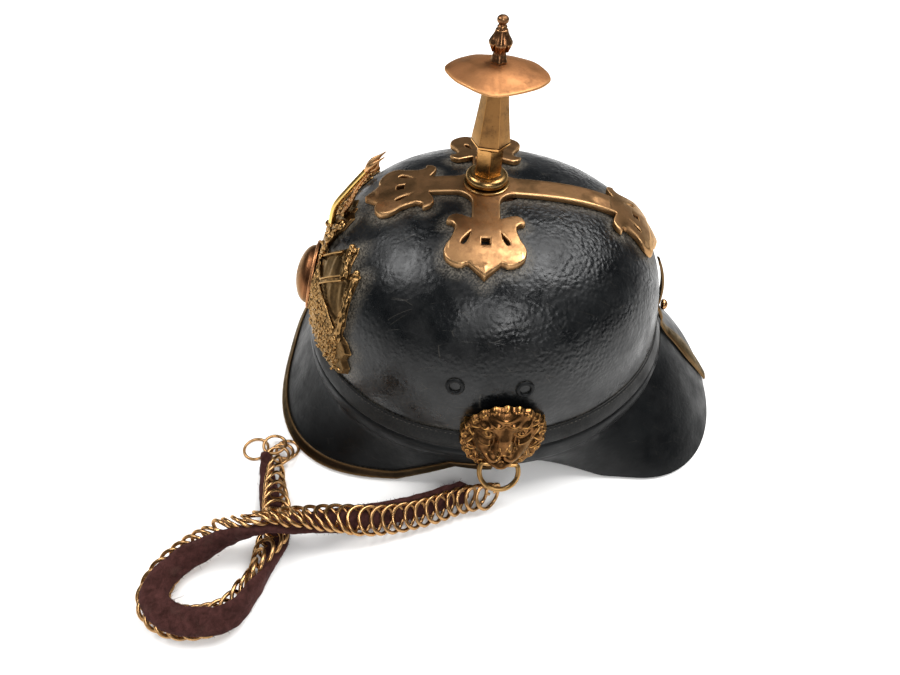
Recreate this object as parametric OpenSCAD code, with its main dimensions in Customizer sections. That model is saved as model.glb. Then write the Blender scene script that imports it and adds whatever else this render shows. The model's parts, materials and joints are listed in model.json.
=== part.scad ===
// Military helmet: black leather skull with a brass cross, spike, lion bosses, front plate and ring chain

/* [Skull] */
// Width of the skull over its side walls
skull_w = 209; // [198:1:216]
// Reach of the skull forward of its widest line
brow_reach = 110; // [104:1:114]
// Reach of the skull behind its widest line
nape_reach = 113.5; // [108:0.5:118]
// Rise of the dome above the straight wall
dome_rise = 105; // [98:1:110]
// Height where the straight wall turns into the dome
wall_top = 43.5; // [40:0.5:47]
// Roundness of the dome, where 2 is an ellipse and more is boxier
dome_power = 2.88; // [2.6:0.02:3.1]
// Distance that the crown leans back for each millimetre of rise
crown_lean = 0.046; // [0:0.002:0.07]
// Flare of the nape toward the rear visor
nape_flare = 5; // [2:0.5:7]
// Thickness of the skull leather
skull_t = 3.2; // [2.6:0.1:4]

/* [Band] */
// Height of the seam between skull and band at the ears
seam_side = 52.4; // [51:0.2:54]
// Rise of the seam from the ears to the brow and nape
seam_rise = 12.2; // [10:0.2:14]
// Height of the leather band at the ears
band_h = 10.5; // [9:0.5:11]
// Thickness of the band leather
band_t = 1.4; // [1:0.1:2]

/* [Visors] */
// Half width of the front visor at its widest
front_half_w = 104.8; // [103:0.2:107]
// Reach of the front visor forward of its widest line
front_reach = 84; // [80:0.1:87]
// Half width of the rear visor at its widest
rear_half_w = 94.5; // [92:0.5:97]
// Reach of the rear visor behind its widest line
rear_reach = 62.8; // [60:0.1:67]
// Thickness of the visor leather
visor_t = 2.8; // [2.4:0.1:3.4]
// Height of the rounded bead at the root of each visor
bead_h = 14.5; // [12:0.5:16]
// How far the bead stands proud of the skull
bead_proud = 5.2; // [4.6:0.1:6]
// Height of the brass rim on the front visor
rim_h = 7.5; // [6:0.5:9]
// Thickness of the brass rim sheet
rim_t = 0.9; // [0.6:0.1:1.2]
// Thickness of the visor lining
lining_t = 0.7; // [0.5:0.1:1]

/* [Cross] */
// Thickness of the cross plate
cross_t = 3.4; // [2.6:0.2:4]
// Half width of an arm
arm_half = 8; // [7:0.5:9]
// Length of the side arms from the spike
side_arm = 70; // [65:1:74]
// Length of the rear arm from the spike
rear_arm = 109; // [104:1:112]
// Radius of the raised boss in the middle
boss_r = 18; // [15:0.5:20]

/* [Spike] */
// Outer radius of the ring at the foot of the spike
foot_r = 12.9; // [12:0.1:14]
// Corner radius of the six-sided neck
neck_r = 7.9; // [7:0.1:9.2]
// Height of the neck
neck_h = 12.8; // [11:0.2:20]
// Corner radius of the column at its cornice
column_foot_r = 11.1; // [10:0.1:12]
// Corner radius of the column at its top
column_top_r = 5.6; // [5.2:0.1:7.2]
// Height of the column above the cornice
column_h = 43; // [38:0.2:46]
// Reach of the disc from its middle to a corner
disc_r = 27.7; // [25:0.1:31]
// Droop of the disc from its middle to a corner
disc_drop = 6.8; // [4:0.1:8]
// Thickness of the disc sheet
disc_t = 1.4; // [1:0.1:2]
// Height of the finial above the disc
finial_h = 23.4; // [23:0.5:29]
// Radius of the threaded rod
rod_r = 4; // [3:0.1:4.5]
// Radius of the finial's pin
pin_r = 2; // [1.6:0.1:2.4]

/* [Front plate] */
// Half width of the plate at its foot
plate_half = 79; // [76:1:82]
// Thickness of the stamped plate
plate_t = 1.6; // [1.2:0.1:2.2]
// Radius of the round shield
shield_r = 22.8; // [20:0.2:26]
// Depth of the shield's dome
shield_depth = 10; // [7:0.5:11]

/* [Lion bosses] */
// Half width of a lion mask
lion_half_w = 25; // [23:0.5:27]
// Half height of a lion mask
lion_half_h = 27; // [24:0.5:28]
// Relief of the mask over its back
lion_relief = 8; // [7:0.2:10]
// Centreline radius of the swinging ring
ring_r = 11.5; // [10.5:0.1:12]
// Wire radius of the swinging ring
ring_wire = 1.5; // [1.2:0.1:1.7]

/* [Lining] */
// Height of the sweatband
sweat_h = 32; // [26:1:36]
// Thickness of the sweatband leather
sweat_t = 1.6; // [1.2:0.1:2.2]
// Number of leather tongues under the crown
tongue_count = 8; // [6:1:10]
// Half width of a tongue at its foot
tongue_half = 24; // [18:1:26]
// Radius of the ring that the lace draws the tongues to
lace_ring = 34; // [28:1:40]

/* [Chain strap] */
// Width of the velvet strap
velvet_w = 16; // [13:0.5:17]
// Thickness of the velvet strap
velvet_t = 7; // [5:0.5:8]
// Centreline radius of a chain ring
link_r = 6.9; // [6.4:0.1:7.4]
// Wire radius of a chain ring
link_wire = 0.8; // [0.6:0.05:0.9]
// Distance from one chain ring to the next
link_pitch = 8.6; // [8.4:0.1:9.4]

/* [Hidden] */
$fn = 48;

// Running clearance of a threaded or turning fit, and of a bolt in its hole
run_gap = 0.05;
hole_gap = 0.2;
seat_gap = 0.1;
shell_gap = 0.3;

// Places along the helmet, with the front toward minus Y
skull_y = -18;
spike_y = -22.3;
lion_y = -4.4;
lion_z = 55;
front_wide_y = -66.5;
rear_wide_y = 86.5;
front_edge_z = 2.7;
rear_edge_z = 1.8;
ear_edge_z = 23;
front_power = 2.83;
rear_power = 2.19;

// Facets round the plan
plan_n = 60;

function unit(v) = v / norm(v);
function mix(a, b, k) = a + (b - a) * k;
function clamp01(k) = max(0, min(1, k));
function swell(a, b, sa, sb) = exp(-pow(a / sa, 2) - pow(b / sb, 2));

// Cubic curve through hand-chosen points, n steps a span
function curve_at(p, i, k) = let (
    last = len(p) - 1,
    a = p[max(0, i - 1)], b = p[i], c = p[min(last, i + 1)], d = p[min(last, i + 2)]
  ) 0.5 * (2 * b + (c - a) * k + (2 * a - 5 * b + 4 * c - d) * k * k + (3 * b - a - 3 * c + d) * k
    * k * k);
function curve(p, n) = concat(
  [for (i = [0 : len(p) - 2]) for (k = [0 : n - 1]) curve_at(p, i, k / n)], [p[len(p) - 1]]);

// Solid skinned over rows of points, each row a closed loop with an even number of points
module skin(rows, closed = false, flip = false) {
  n = len(rows);
  m = len(rows[0]);
  sides = [for (i = [0 : closed ? n - 1 : n - 2]) for (j = [0 : m - 1]) let (
      a = i * m + j, b = i * m + (j + 1) % m,
      c = ((i + 1) % n) * m + (j + 1) % m, d = ((i + 1) % n) * m + j
    ) each [[a, b, c], [a, c, d]]];
  first = closed ? [] : [for (j = [0 : m / 2 - 2]) each [[j, m - 2 - j, j + 1], [j, m - 1 - j,
    m - 2 - j]]];
  back = (n - 1) * m;
  last = [for (f = first) [f[0] + back, f[2] + back, f[1] + back]];
  turned = concat(sides, first, last);
  polyhedron(points = [for (r = rows) each r], faces = flip ? [for (f = turned) [f[0], f[2], f[1]]]
    : turned);
}

// Skull surface: t is the plan angle from the brow, u the angle up the dome, grow the offset outward
brow_power = 2.26;
nape_power = 2;
flare_top = 90;
brow_tuck = 2.5;
function plan_power(t) = cos(t) > 0 ? brow_power : nape_power;
function bend(c, n) = sign(c) * pow(abs(c), 2 / n);
function low_part(z) = pow(clamp01((flare_top - z) / (flare_top - wall_top)), 2);
function reach_at(front, z) = front ? brow_reach - brow_tuck * low_part(z) : nape_reach + nape_flare
    * low_part(z);
function dome_scale(z) = z <= wall_top ? 1
  : pow(max(0, 1 - pow((z - wall_top) / dome_rise, dome_power)), 1 / dome_power);
function lean_at(z) = crown_lean * max(0, z - wall_top);
function wall_pt(t, z, grow = 0) = let (k = dome_scale(z), n = plan_power(t)) [
  (skull_w / 2 * k + grow) * bend(sin(t), n),
  skull_y + lean_at(z) - (reach_at(cos(t) > 0, z) * k + grow) * bend(cos(t), n), z];
function dome_pt(t, u, grow = 0) = let (
    k = pow(cos(u), 2 / dome_power), z = wall_top + (dome_rise + grow) * pow(sin(u), 2 / dome_power),
      n = plan_power(t)
  ) [(skull_w / 2 + grow) * k * bend(sin(t), n),
    skull_y + lean_at(z) - (reach_at(cos(t) > 0, z) + grow) * k * bend(cos(t), n), z];
// Height of the crown on the spike's axis, and the wall's plan at a height
top_lean = crown_lean * dome_rise;
function crown_at(grow) = let (k = (skull_y + top_lean - spike_y) / (brow_reach + grow))
  wall_top + (dome_rise + grow) * pow(1 - pow(abs(k), dome_power), 1 / dome_power);
crown_z = crown_at(0);
function wall_x(y, z) = let (
    k = dome_scale(z), b = y - skull_y - lean_at(z), n = b < 0 ? brow_power : nape_power
  ) skull_w / 2 * k * pow(max(0, 1 - pow(abs(b) / (reach_at(b < 0, z) * k), n)), 1 / n);
function brow_y(x, z, grow) = let (k = dome_scale(z)) skull_y + lean_at(z)
  - (reach_at(true, z) * k + grow) * pow(max(0, 1 - pow(abs(x) / (skull_w / 2 * k + grow),
    brow_power)), 1 / brow_power);

// Heights of the seam, of the groove under the band and of the crease under the bead
function nape_fade(t) = cos(t) < 0 ? pow(cos(t), 4) : 0;
function seam_z(t) = seam_side + seam_rise * pow(cos(t), 2);
function groove_z(t) = seam_z(t) - band_h + 2.5 * nape_fade(t);
function crease_z(t) = groove_z(t) - (cos(t) > 0 ? bead_h * (0.55 + 0.45 * cos(t)) : bead_h - 8.5
    * nape_fade(t));
function hem_z(t) = groove_z(t) - 10;

// Free edge of a visor: s runs from the helmet's middle line to the ear
ear_gap = 4;
front_end_y = lion_y - ear_gap;
rear_end_y = lion_y + ear_gap;
corner_s = 0.55;
ear_out = 3.6;
function rise_to_ear(low, k, power) = low + (ear_edge_z - low) * pow(clamp01(k), power);
function front_edge(s) = s <= corner_s
  ? let (a = 90 * s / corner_s) [
      front_half_w * pow(sin(a), 2 / front_power),
      front_wide_y - front_reach * pow(cos(a), 2 / front_power), front_edge_z]
  : let (y = mix(front_wide_y, front_end_y, (s - corner_s) / (1 - corner_s)),
      w = clamp01((y - front_wide_y) / 50)) [
      mix(front_half_w, wall_x(y, wall_top) + ear_out, w), y, rise_to_ear(front_edge_z,
        (y - front_wide_y) / 36, 1.3)];
function rear_edge(s) = s <= corner_s
  ? let (a = 90 * s / corner_s) [
      rear_half_w * pow(sin(a), 2 / rear_power),
      rear_wide_y + rear_reach * pow(cos(a), 2 / rear_power), rear_edge_z]
  : let (y = mix(rear_wide_y, rear_end_y, (s - corner_s) / (1 - corner_s)),
      w = clamp01((66 - y) / 66)) [
      mix(rear_half_w, wall_x(y, wall_top) + ear_out, pow(w, 1.4)), y, rise_to_ear(rear_edge_z,
        (66 - y) / 48, 1.35)];
// Plan angle at which station s of a visor meets the skull
function end_angle(y) = let (b = skull_y - y)
  acos(bend(b / (b > 0 ? brow_reach : nape_reach), 4 / (b > 0 ? brow_power : nape_power)));
function front_angle(s) = s <= corner_s ? 62 * s / corner_s
  : mix(62, end_angle(front_end_y), (s - corner_s) / (1 - corner_s));
function rear_angle(s) = s <= corner_s ? 180 - 46 * s / corner_s
  : mix(134, end_angle(rear_end_y), (s - corner_s) / (1 - corner_s));
function edge_at(rear, s) = rear ? rear_edge(s) : front_edge(s);
function angle_at(rear, s) = rear ? rear_angle(s) : front_angle(s);

// Flared part of a visor: r runs from the crease to the free edge
root_proud = bead_proud - 0.7;
function flare_mid(rear, s, r) = let (
    t = angle_at(rear, s), a = wall_pt(t, crease_z(t) - 0.8, root_proud), b = edge_at(rear, s),
    out = rear ? 0.55 : 0.45, down = rear ? 0.42 : 0.55,
    c = [mix(a[0], b[0], out), mix(a[1], b[1], out), mix(a[2], b[2], down)]
  ) a * pow(1 - r, 2) + c * 2 * r * (1 - r) + b * r * r;
function flare_normal(rear, s, r) = let (
    e = 0.02, s0 = max(0, s - e), s1 = min(1, s + e), r0 = max(0, r - e), r1 = min(1, r + e),
    n = cross(flare_mid(rear, s, r1) - flare_mid(rear, s, r0),
      flare_mid(rear, s1, r) - flare_mid(rear, s0, r))
  ) unit(s == 0 ? [0, n[1], n[2]] : n) * (rear ? -1 : 1);
function flare_pt(rear, s, r, off) = flare_mid(rear, s, r) + flare_normal(rear, s, r) * off;
function flare_len(rear, s) = norm(flare_mid(rear, s, 1) - flare_mid(rear, s, 0.5))
  + norm(flare_mid(rear, s, 0.5) - flare_mid(rear, s, 0));

// Both halves of a visor as rows from ear to ear
visor_n = 18;
function to_right(row) = [for (p = row) [-p[0], p[1], p[2]]];
function both_halves(rows) = concat(
  [for (i = [len(rows) - 1 : -1 : 1]) to_right(rows[i])], rows);
function stations() = [for (i = [0 : visor_n]) i / visor_n];
function visor_row(rear, s) = let (
    t = angle_at(rear, s), top = seam_z(t) - 3, g = groove_z(t), c = crease_z(t)
  ) concat(
    [wall_pt(t, top, 1), wall_pt(t, g + 0.4, 2.5), wall_pt(t, g - 0.4, 2.8),
     wall_pt(t, g - 2.5, bead_proud - 0.5), wall_pt(t, mix(g, c, 0.55), bead_proud),
     wall_pt(t, c + 0.9, bead_proud - 0.3), wall_pt(t, c, root_proud - 0.2)],
    [for (k = [1 : 5]) flare_pt(rear, s, k / 5, 0)],
    [for (k = [5 : -1 : 1]) flare_pt(rear, s, k / 5, -visor_t)],
    [wall_pt(t, c, shell_gap), wall_pt(t, c + 0.9, shell_gap), wall_pt(t, mix(g, c, 0.55), shell_gap),
     wall_pt(t, g - 2.5, shell_gap), wall_pt(t, g - 0.4, shell_gap), wall_pt(t, g + 0.4, shell_gap),
     wall_pt(t, top, shell_gap)]);
module visor(rear) skin(both_halves([for (s = stations()) visor_row(rear, s)]), flip = !rear);

module skull() color("#1b1c1e") difference() {
  skin([for (i = [0 : plan_n - 1]) let (t = -360 * i / plan_n) concat(
    [for (z = [hem_z(t), mix(hem_z(t), wall_top, 0.5), wall_top]) wall_pt(t, z)],
    [for (u = [10 : 8 : 82]) dome_pt(t, u)], [dome_pt(t, 88)],
    [dome_pt(t, 88, -skull_t)], [for (u = [82 : -8 : 10]) dome_pt(t, u, -skull_t)],
    [for (z = [wall_top, mix(hem_z(t), wall_top, 0.5), hem_z(t)]) wall_pt(t, z, -skull_t)]
  )], closed = true, flip = true);
  translate([0, spike_y, crown_z - 20]) cylinder(h = 40, r = rod_r + hole_gap);
  for (side = [-1, 1]) {
    for (z = lion_post_z) lion_post(side, z, lion_post_r + hole_gap);
    for (y = vent_y) on_wall(side, y, vent_z) translate([0, 0, -12]) cylinder(h = 24, r = eyelet_r);
  }
  for (s = plate_studs) plate_stud(s, stud_r + hole_gap);
  spine_hole(stud_r + hole_gap);
}

module skull_band() color("#202123") difference() {
  skin([for (i = [0 : plan_n - 1]) let (t = 360 * i / plan_n, s = seam_z(t), g = groove_z(t)) [
    wall_pt(t, s, run_gap), wall_pt(t, s, band_t - 0.2), wall_pt(t, s - 0.6, band_t),
    wall_pt(t, mix(s, g, 0.5), band_t + 1.8), wall_pt(t, g + 0.5, band_t + 2.75), wall_pt(t, g,
      band_t + 2.5),
    wall_pt(t, g, 2.75), wall_pt(t, g + 0.5, 2.6), wall_pt(t, mix(s, g, 0.5), 1.75), wall_pt(t,
      s - 2.8, 1.1),
    wall_pt(t, s - 2.4, 0.4), wall_pt(t, s - 0.6, 0.1)]], closed = true, flip = true);
  for (side = [-1, 1]) for (z = lion_post_z) lion_post(side, z, lion_post_r + hole_gap);
}

module front_visor() color("#17181a") visor(false);
module rear_visor() color("#17181a") visor(true);

// Lining glued under the flare of a visor
module visor_lining(rear) skin(both_halves([for (s = stations()) let (
    reach = rear ? 0.97 : 1 - (rim_h * 0.55 + 2.4) / max(flare_len(rear, s), 12)
  ) concat(
    [for (k = [0 : 4]) flare_pt(rear, s, mix(0.25, reach, k / 4), -visor_t - shell_gap)],
    [for (k = [4 : -1 : 0]) flare_pt(rear, s, mix(0.25, reach, k / 4),
      -visor_t - shell_gap - lining_t)])]), flip = !rear);
module front_visor_lining() color("#4a3a2c") visor_lining(false);
module rear_visor_lining() color("#4a3a2c") visor_lining(true);

// Folded brass rim that clasps the free edge of the front visor
module front_visor_rim() color("#6e5230") skin(both_halves([for (s = stations()) let (
    long = flare_len(false, s), up = 1 - min(rim_h, 0.8 * long) / long,
    under = 1 - min(rim_h * 0.55, 0.6 * long) / long, gap = shell_gap, o = gap + rim_t,
    tip = unit(flare_mid(false, s, 1) - flare_mid(false, s, 0.9))
  ) [
    flare_pt(false, s, up, o), flare_pt(false, s, mix(up, 1, 0.5), o), flare_pt(false, s, 1, o),
    flare_pt(false, s, 1, -visor_t / 2) + tip * 1.4, flare_pt(false, s, 1, -visor_t - o),
    flare_pt(false, s, under, -visor_t - o),
    flare_pt(false, s, under, -visor_t - gap), flare_pt(false, s, 1, -visor_t - gap) + tip * gap,
    flare_pt(false, s, 1, -visor_t / 2) + tip * gap, flare_pt(false, s, 1, gap) + tip * gap,
    flare_pt(false, s, mix(up, 1, 0.5), gap), flare_pt(false, s, up, gap)]]), flip = true);

// Brass spine down the back: a bowed strip above the stud and a domed strip on the rear visor
spine_t = 1.2;
stud_r = 1.6;
stud_z = 67.6;
function spine_half(k) = k < 0.5 ? mix(3.2, 9.5, k / 0.5) : mix(9.5, 5.5, (k - 0.5) / 0.5);
function back_z(y, z = 100, tries = 4) = tries == 0 ? z : back_z(y, wall_top + dome_rise
  * pow(1 - pow((y - skull_y - lean_at(z)) / nape_reach, dome_power), 1 / dome_power), tries - 1);
spine_top_z = back_z(spike_y + rear_arm + 2.1);
back_groove = groove_z(180);
function back_pt(z, off) = let (p = wall_pt(180, z, off)) [0, p[1], p[2]];
spine_path = concat(
  [for (k = [0 : 5]) let (z = mix(spine_top_z, stud_z, k / 5)) concat(back_pt(z, 0.9 + 2.2 * sin(160
    * k / 5)), [3.4])],
  [concat(back_pt(back_groove + 5.4, 4), [3.5]), concat(back_pt(back_groove + 0.9, bead_proud + 0.5),
    [3.8]),
   concat(back_pt(back_groove - 3.6, bead_proud + 0.6), [4.4])],
  [for (k = [1 : 7]) let (r = mix(0.04, 1, k / 7), p = flare_pt(true, 0, r, 0.5))
    [0, p[1], p[2], spine_half(k / 7)]]);
function spine_normal(i) = let (
    a = spine_path[max(0, i - 1)], b = spine_path[min(len(spine_path) - 1, i + 1)],
    d = unit([0, b[1] - a[1], b[2] - a[2]])
  ) [0, -d[2], d[1]];
module rear_spine() color("#8a6a3c") difference() {
  skin([for (i = [0 : len(spine_path) - 1]) let (
      p = spine_path[i], n = spine_normal(i), c = [0, p[1], p[2]], h = p[3], crown = h * 0.16
    ) concat(
      [for (k = [-1 : 0.5 : 1]) c + [h * k, 0, 0] + n * (spine_t + crown * (1 - k * k))],
      [for (k = [1 : -0.5 : -1]) c + [h * k, 0, 0] + n * (seat_gap + crown * (1 - k * k))])], flip = true);
  spine_hole(stud_r + hole_gap);
}
module spine_hole(r) {
  p = back_pt(stud_z, 0);
  translate([0, p[1] + 10, stud_z]) rotate([90, 0, 0]) cylinder(h = 26, r = r);
}
stud_seat = 5.7;
module spine_stud() color("#8f6f42") {
  p = back_pt(stud_z, stud_seat);
  translate([0, p[1], stud_z]) rotate([90, 0, 0]) cylinder(h = skull_t + stud_seat + 4, r = stud_r);
  translate([0, p[1], stud_z]) rotate([-90, 0, 0]) rotate_extrude() polygon(concat([[0, 0], [3.6, 0]],
    [for (a = [0 : 15 : 90]) [3.6 * cos(a), 0.8 + 3 * sin(a)]]));
}
module spine_nut() color("#7d6743") {
  p = back_pt(stud_z, -skull_t - 0.9);
  translate([0, p[1], stud_z]) rotate([90, 0, 0]) hex_nut(stud_r, 3.4, 2.6);
}
module hex_nut(bore, r, h) difference() {
  cylinder(h = h, r = r, $fn = 6);
  translate([0, 0, -1]) cylinder(h = h + 2, r = bore + run_gap);
}

// Cross plate: its outline in plan, cut from a skin that follows the dome
half_fleur = [[19, 8], [29, 8], [30.6, 8.6], [28.6, 13], [27.6, 17], [29.4, 20.4], [33.4, 21.8], [34.6,
    18.6],
  [38, 17], [45, 18.8], [50, 21.6], [54, 22.4], [58, 21], [61, 17], [62, 12.6], [61, 9.4], [62.4, 7.4],
    [69, 0]];
tear = [[42, 8.6], [46, 9.4], [49.6, 11.4], [49.4, 13], [47.4, 12.8], [44.6, 10.8]];
function arm_u(u, reach, squeeze) = u < 20 ? u : reach - (69 - u) * squeeze;
module arm_outline(reach, squeeze) {
  half = [for (p = curve(half_fleur, 3)) [arm_u(p[0], reach, squeeze), p[1] / 8 * arm_half]];
  difference() {
    polygon(concat([[0, arm_half]], half, [for (i = [len(half) - 2 : -1 : 0]) [half[i][0], -half[i][1]]],
      [[0, -arm_half]]));
    for (m = [-1, 1]) polygon([for (p = tear) [arm_u(p[0], reach, squeeze), m * p[1] / 8 * arm_half]]);
    translate([arm_u(48, reach, squeeze), 0]) square([4.4, 4.2], center = true);
  }
}
module cross_outline() {
  arm_outline(side_arm, 1);
  rotate(180) arm_outline(side_arm, 1);
  rotate(-90) arm_outline(side_arm + 1, 1);
  rotate(90) arm_outline(rear_arm, 0.84);
  fillet_r = 11;
  for (a = [0 : 90 : 270]) rotate(a) difference() {
    square(arm_half + fillet_r);
    translate([arm_half + fillet_r, arm_half + fillet_r]) circle(r = fillet_r);
  }
}
module dome_layer(under, over, from_u, to_u, step_u) skin([for (i = [0 : plan_n - 1]) let (t = 360
    * i / plan_n)
  concat([for (u = [from_u : step_u : to_u]) dome_pt(t, u, over)],
    [for (u = [to_u : -step_u : from_u]) dome_pt(t, u, under)])], closed = true);
cross_under = 0.5;
boss_rise = 4.7;
layer_low = 25.9;
layer_high = 89.9;
module cross_mount() color("#a9744f") difference() {
  union() {
    intersection() {
      dome_layer(cross_under, cross_under + cross_t, layer_low, layer_high, 8);
      translate([0, spike_y, 60]) linear_extrude(height = 120) cross_outline();
    }
    translate([0, spike_y, crown_z + cross_under]) rotate_extrude() polygon(concat([[0, 0.6], [boss_r,
      0.6]],
      [for (a = [0 : 10 : 90]) [boss_r - 5 + 5 * cos(a), cross_t - 1.6 + (boss_rise + 1.6) * sin(a)]],
        [[0, cross_t + boss_rise]]));
  }
  translate([0, spike_y, crown_z - 10]) cylinder(h = 40, r = rod_r + hole_gap);
}
boss_top = crown_z + cross_under + cross_t + boss_rise;

// Spike: foot ring, six-sided neck and column, disc and finial
foot_wire = 3.2;
flange_r = 12.6;
flange_h = 1.4;
land_r = neck_r + 0.3;
land_top = boss_top + flange_h + 2 * foot_wire + 0.1;
column_turn = -38;
module on_axis(z) translate([0, spike_y, z]) children();
module spike_foot_ring() color("#b98a4a") on_axis(boss_top) difference() {
  union() {
    cylinder(h = flange_h, r = flange_r);
    translate([0, 0, flange_h + foot_wire - 0.2]) rotate_extrude() translate([foot_r - foot_wire, 0])
      circle(r = foot_wire);
    cylinder(h = land_top - boss_top, r = land_r);
  }
  translate([0, 0, -1]) cylinder(h = 20, r = rod_r + hole_gap);
}
neck_foot = land_top + run_gap;
cornice_z = neck_foot + neck_h;
column_top = cornice_z + 2.6 + column_h;
rod_grip = 34;
pin_grip = 12;
module spike_column() color("#b0834a") difference() {
  union() {
    on_axis(neck_foot) rotate(4) cylinder(h = neck_h + 1, r = neck_r, $fn = 6);
    on_axis(cornice_z) rotate(column_turn) {
      cylinder(h = 1.6, r1 = neck_r + 0.6, r2 = column_foot_r, $fn = 6);
      translate([0, 0, 1.6]) cylinder(h = 1, r = column_foot_r, $fn = 6);
      translate([0, 0, 2.6]) cylinder(h = column_h, r1 = column_foot_r, r2 = column_top_r, $fn = 6);
    }
  }
  on_axis(neck_foot - 1) cylinder(h = rod_grip + 1, r = rod_r + run_gap);
  on_axis(column_top - pin_grip) cylinder(h = pin_grip + 1, r = pin_r + run_gap);
}

disc_under = column_top + run_gap;
disc_power = 1.72;
disc_flat = 6.6;
disc_bent = 0.067;
function disc_edge(a) = disc_r / pow(pow(abs(cos(a)), disc_power) + pow(abs(sin(a)), disc_power),
    1 / disc_power);
function disc_pt(a, k, top) = let (
    r = max(1, disc_edge(a) * k), over = max(0, r - disc_flat), fall = pow(over / (disc_r - disc_flat),
      1.28)
  ) [r * cos(a), spike_y + r * sin(a),
    disc_under + (top ? disc_t : 0) - disc_drop * fall + disc_bent * over * 1.3 * cos(a)];
disc_steps = [0, 0.23, 0.42, 0.62, 0.81, 1];
module spike_disc() color("#b4744a") difference() {
  skin([for (i = [0 : plan_n - 1]) let (a = -360 * i / plan_n) concat(
    [for (k = disc_steps) disc_pt(a, k, false)],
    [for (j = [len(disc_steps) - 1 : -1 : 0]) disc_pt(a, disc_steps[j], true)])], closed = true,
      flip = true);
  on_axis(disc_under - 5) cylinder(h = 12, r = pin_r + hole_gap);
}

finial_foot = disc_under + disc_t + run_gap;
finial_outline = [[5, 0], [5.2, 1.2], [4, 2.6], [3.5, 4.4], [3.9, 6.6], [5.6, 9.6], [6.3, 11.6], [5.4,
    13], [3.6, 15],
  [2.6, 17], [3.5, 18.2], [3.5, 19.8], [2.2, 20.8], [2, 21.8], [2.9, 23.6], [2.6, 25.2], [1.4, 26]];
module spike_finial() color("#6b5332") {
  on_axis(finial_foot) rotate_extrude() polygon(concat([[0, 0]],
    [for (p = finial_outline) [p[0], p[1] * finial_h / 26]], [[0, finial_h]]));
  on_axis(finial_foot - disc_t - pin_grip + 1) cylinder(h = disc_t + pin_grip - 0.5, r = pin_r);
}

crown_inside = crown_at(-skull_t);
washer_r = 17;
washer_t = 2;
washer_top = crown_inside - 0.7;
nut_h = 6.5;
module crown_washer() color("#5a4632") on_axis(washer_top - washer_t) difference() {
  cylinder(h = washer_t, r = washer_r);
  translate([0, 0, -1]) cylinder(h = washer_t + 2, r = rod_r + hole_gap);
}
module crown_nut() color("#8b7a55") on_axis(washer_top - washer_t - seat_gap - nut_h) hex_nut(rod_r,
    7.6, nut_h);
module spike_rod() color("#8d8a80") {
  foot = washer_top - washer_t - nut_h - 4;
  on_axis(foot) cylinder(h = neck_foot + rod_grip - 4 - foot, r = rod_r);
}

// Front plate: stamped wreath, flags and crown part, laid on the brow
plate_under = 0.6;
half_plate = [[0, 68], [20, 67], [40, 65.2], [57, 63.4], [70, 63.2], [76, 64.4], [78.4, 67], [79, 72],
    [76.6, 77], [78, 83],
  [74.6, 88], [70.6, 90.4], [71, 96], [67.4, 104.2], [63.4, 112], [58.8, 119.2], [54, 125.4], [49.4,
    121.4], [45, 126],
  [41.8, 131], [37, 130.6], [38.2, 125.4], [30, 117.6], [21, 108.6], [14, 109], [13.4, 117], [14, 123],
    [10, 128.6],
  [3, 128], [0, 129.4]];
plate_studs = [[0, 76], [-52, 92], [52, 92]];
module plate_stud(s, r) translate([s[0], brow_y(s[0], s[1], 2), s[1]])
  rotate([-90, 0, 0]) cylinder(h = 16, r = r);
function brow_row(t, from, to, from_u, top_u) = concat(
  [for (u = [from_u : 6 : top_u]) dome_pt(t, u, to)], [for (u = [top_u : -6 : from_u]) dome_pt(t, u,
    from)]);
module front_plate() color("#a67c45") {
  intersection() {
    skin([for (t = [-64 : 4 : 64]) brow_row(t, plate_under, plate_under + plate_t, 3, 63)]);
    translate([0, -60, 0]) rotate([90, 0, 0]) linear_extrude(height = 120) polygon(concat(
      [for (p = half_plate) [p[0] * plate_half / 79, p[1]]],
      [for (i = [len(half_plate) - 2 : -1 : 1]) [-half_plate[i][0] * plate_half / 79, half_plate[i][1]]]));
  }
  for (s = plate_studs) translate([s[0], brow_y(s[0], s[1], plate_under + 0.6), s[1]]) rotate([-90, 0, 0])
    cylinder(h = skull_t + 5, r = stud_r);
}
module plate_nuts() color("#7d6743") for (s = plate_studs)
  translate([s[0], brow_y(s[0], s[1], -skull_t) + 1.6 + abs(s[0]) * 0.06, s[1]]) rotate([-90, 0, 0])
    hex_nut(stud_r, 3.2, 2.6);

shield_z = 75;
shield_tilt = 11;
shield_back = plate_under + plate_t + 0.9;
module plate_shield() color("#94703f") translate([0, brow_y(0, shield_z, shield_back), shield_z])
  rotate([90 - shield_tilt, 0, 0]) rotate_extrude() polygon(concat([[0, 0], [shield_r, 0]],
    [[shield_r, 1.4], [shield_r - 1.5, 2.4], [shield_r - 3, 1.8], [shield_r - 4.5, 2.6], [shield_r - 6,
      1.8]],
    [for (k = [1 : -0.125 : 0]) [(shield_r - 7) * k, 1.8 + shield_depth * sqrt(1 - k * k * 0.999)]]));

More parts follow.
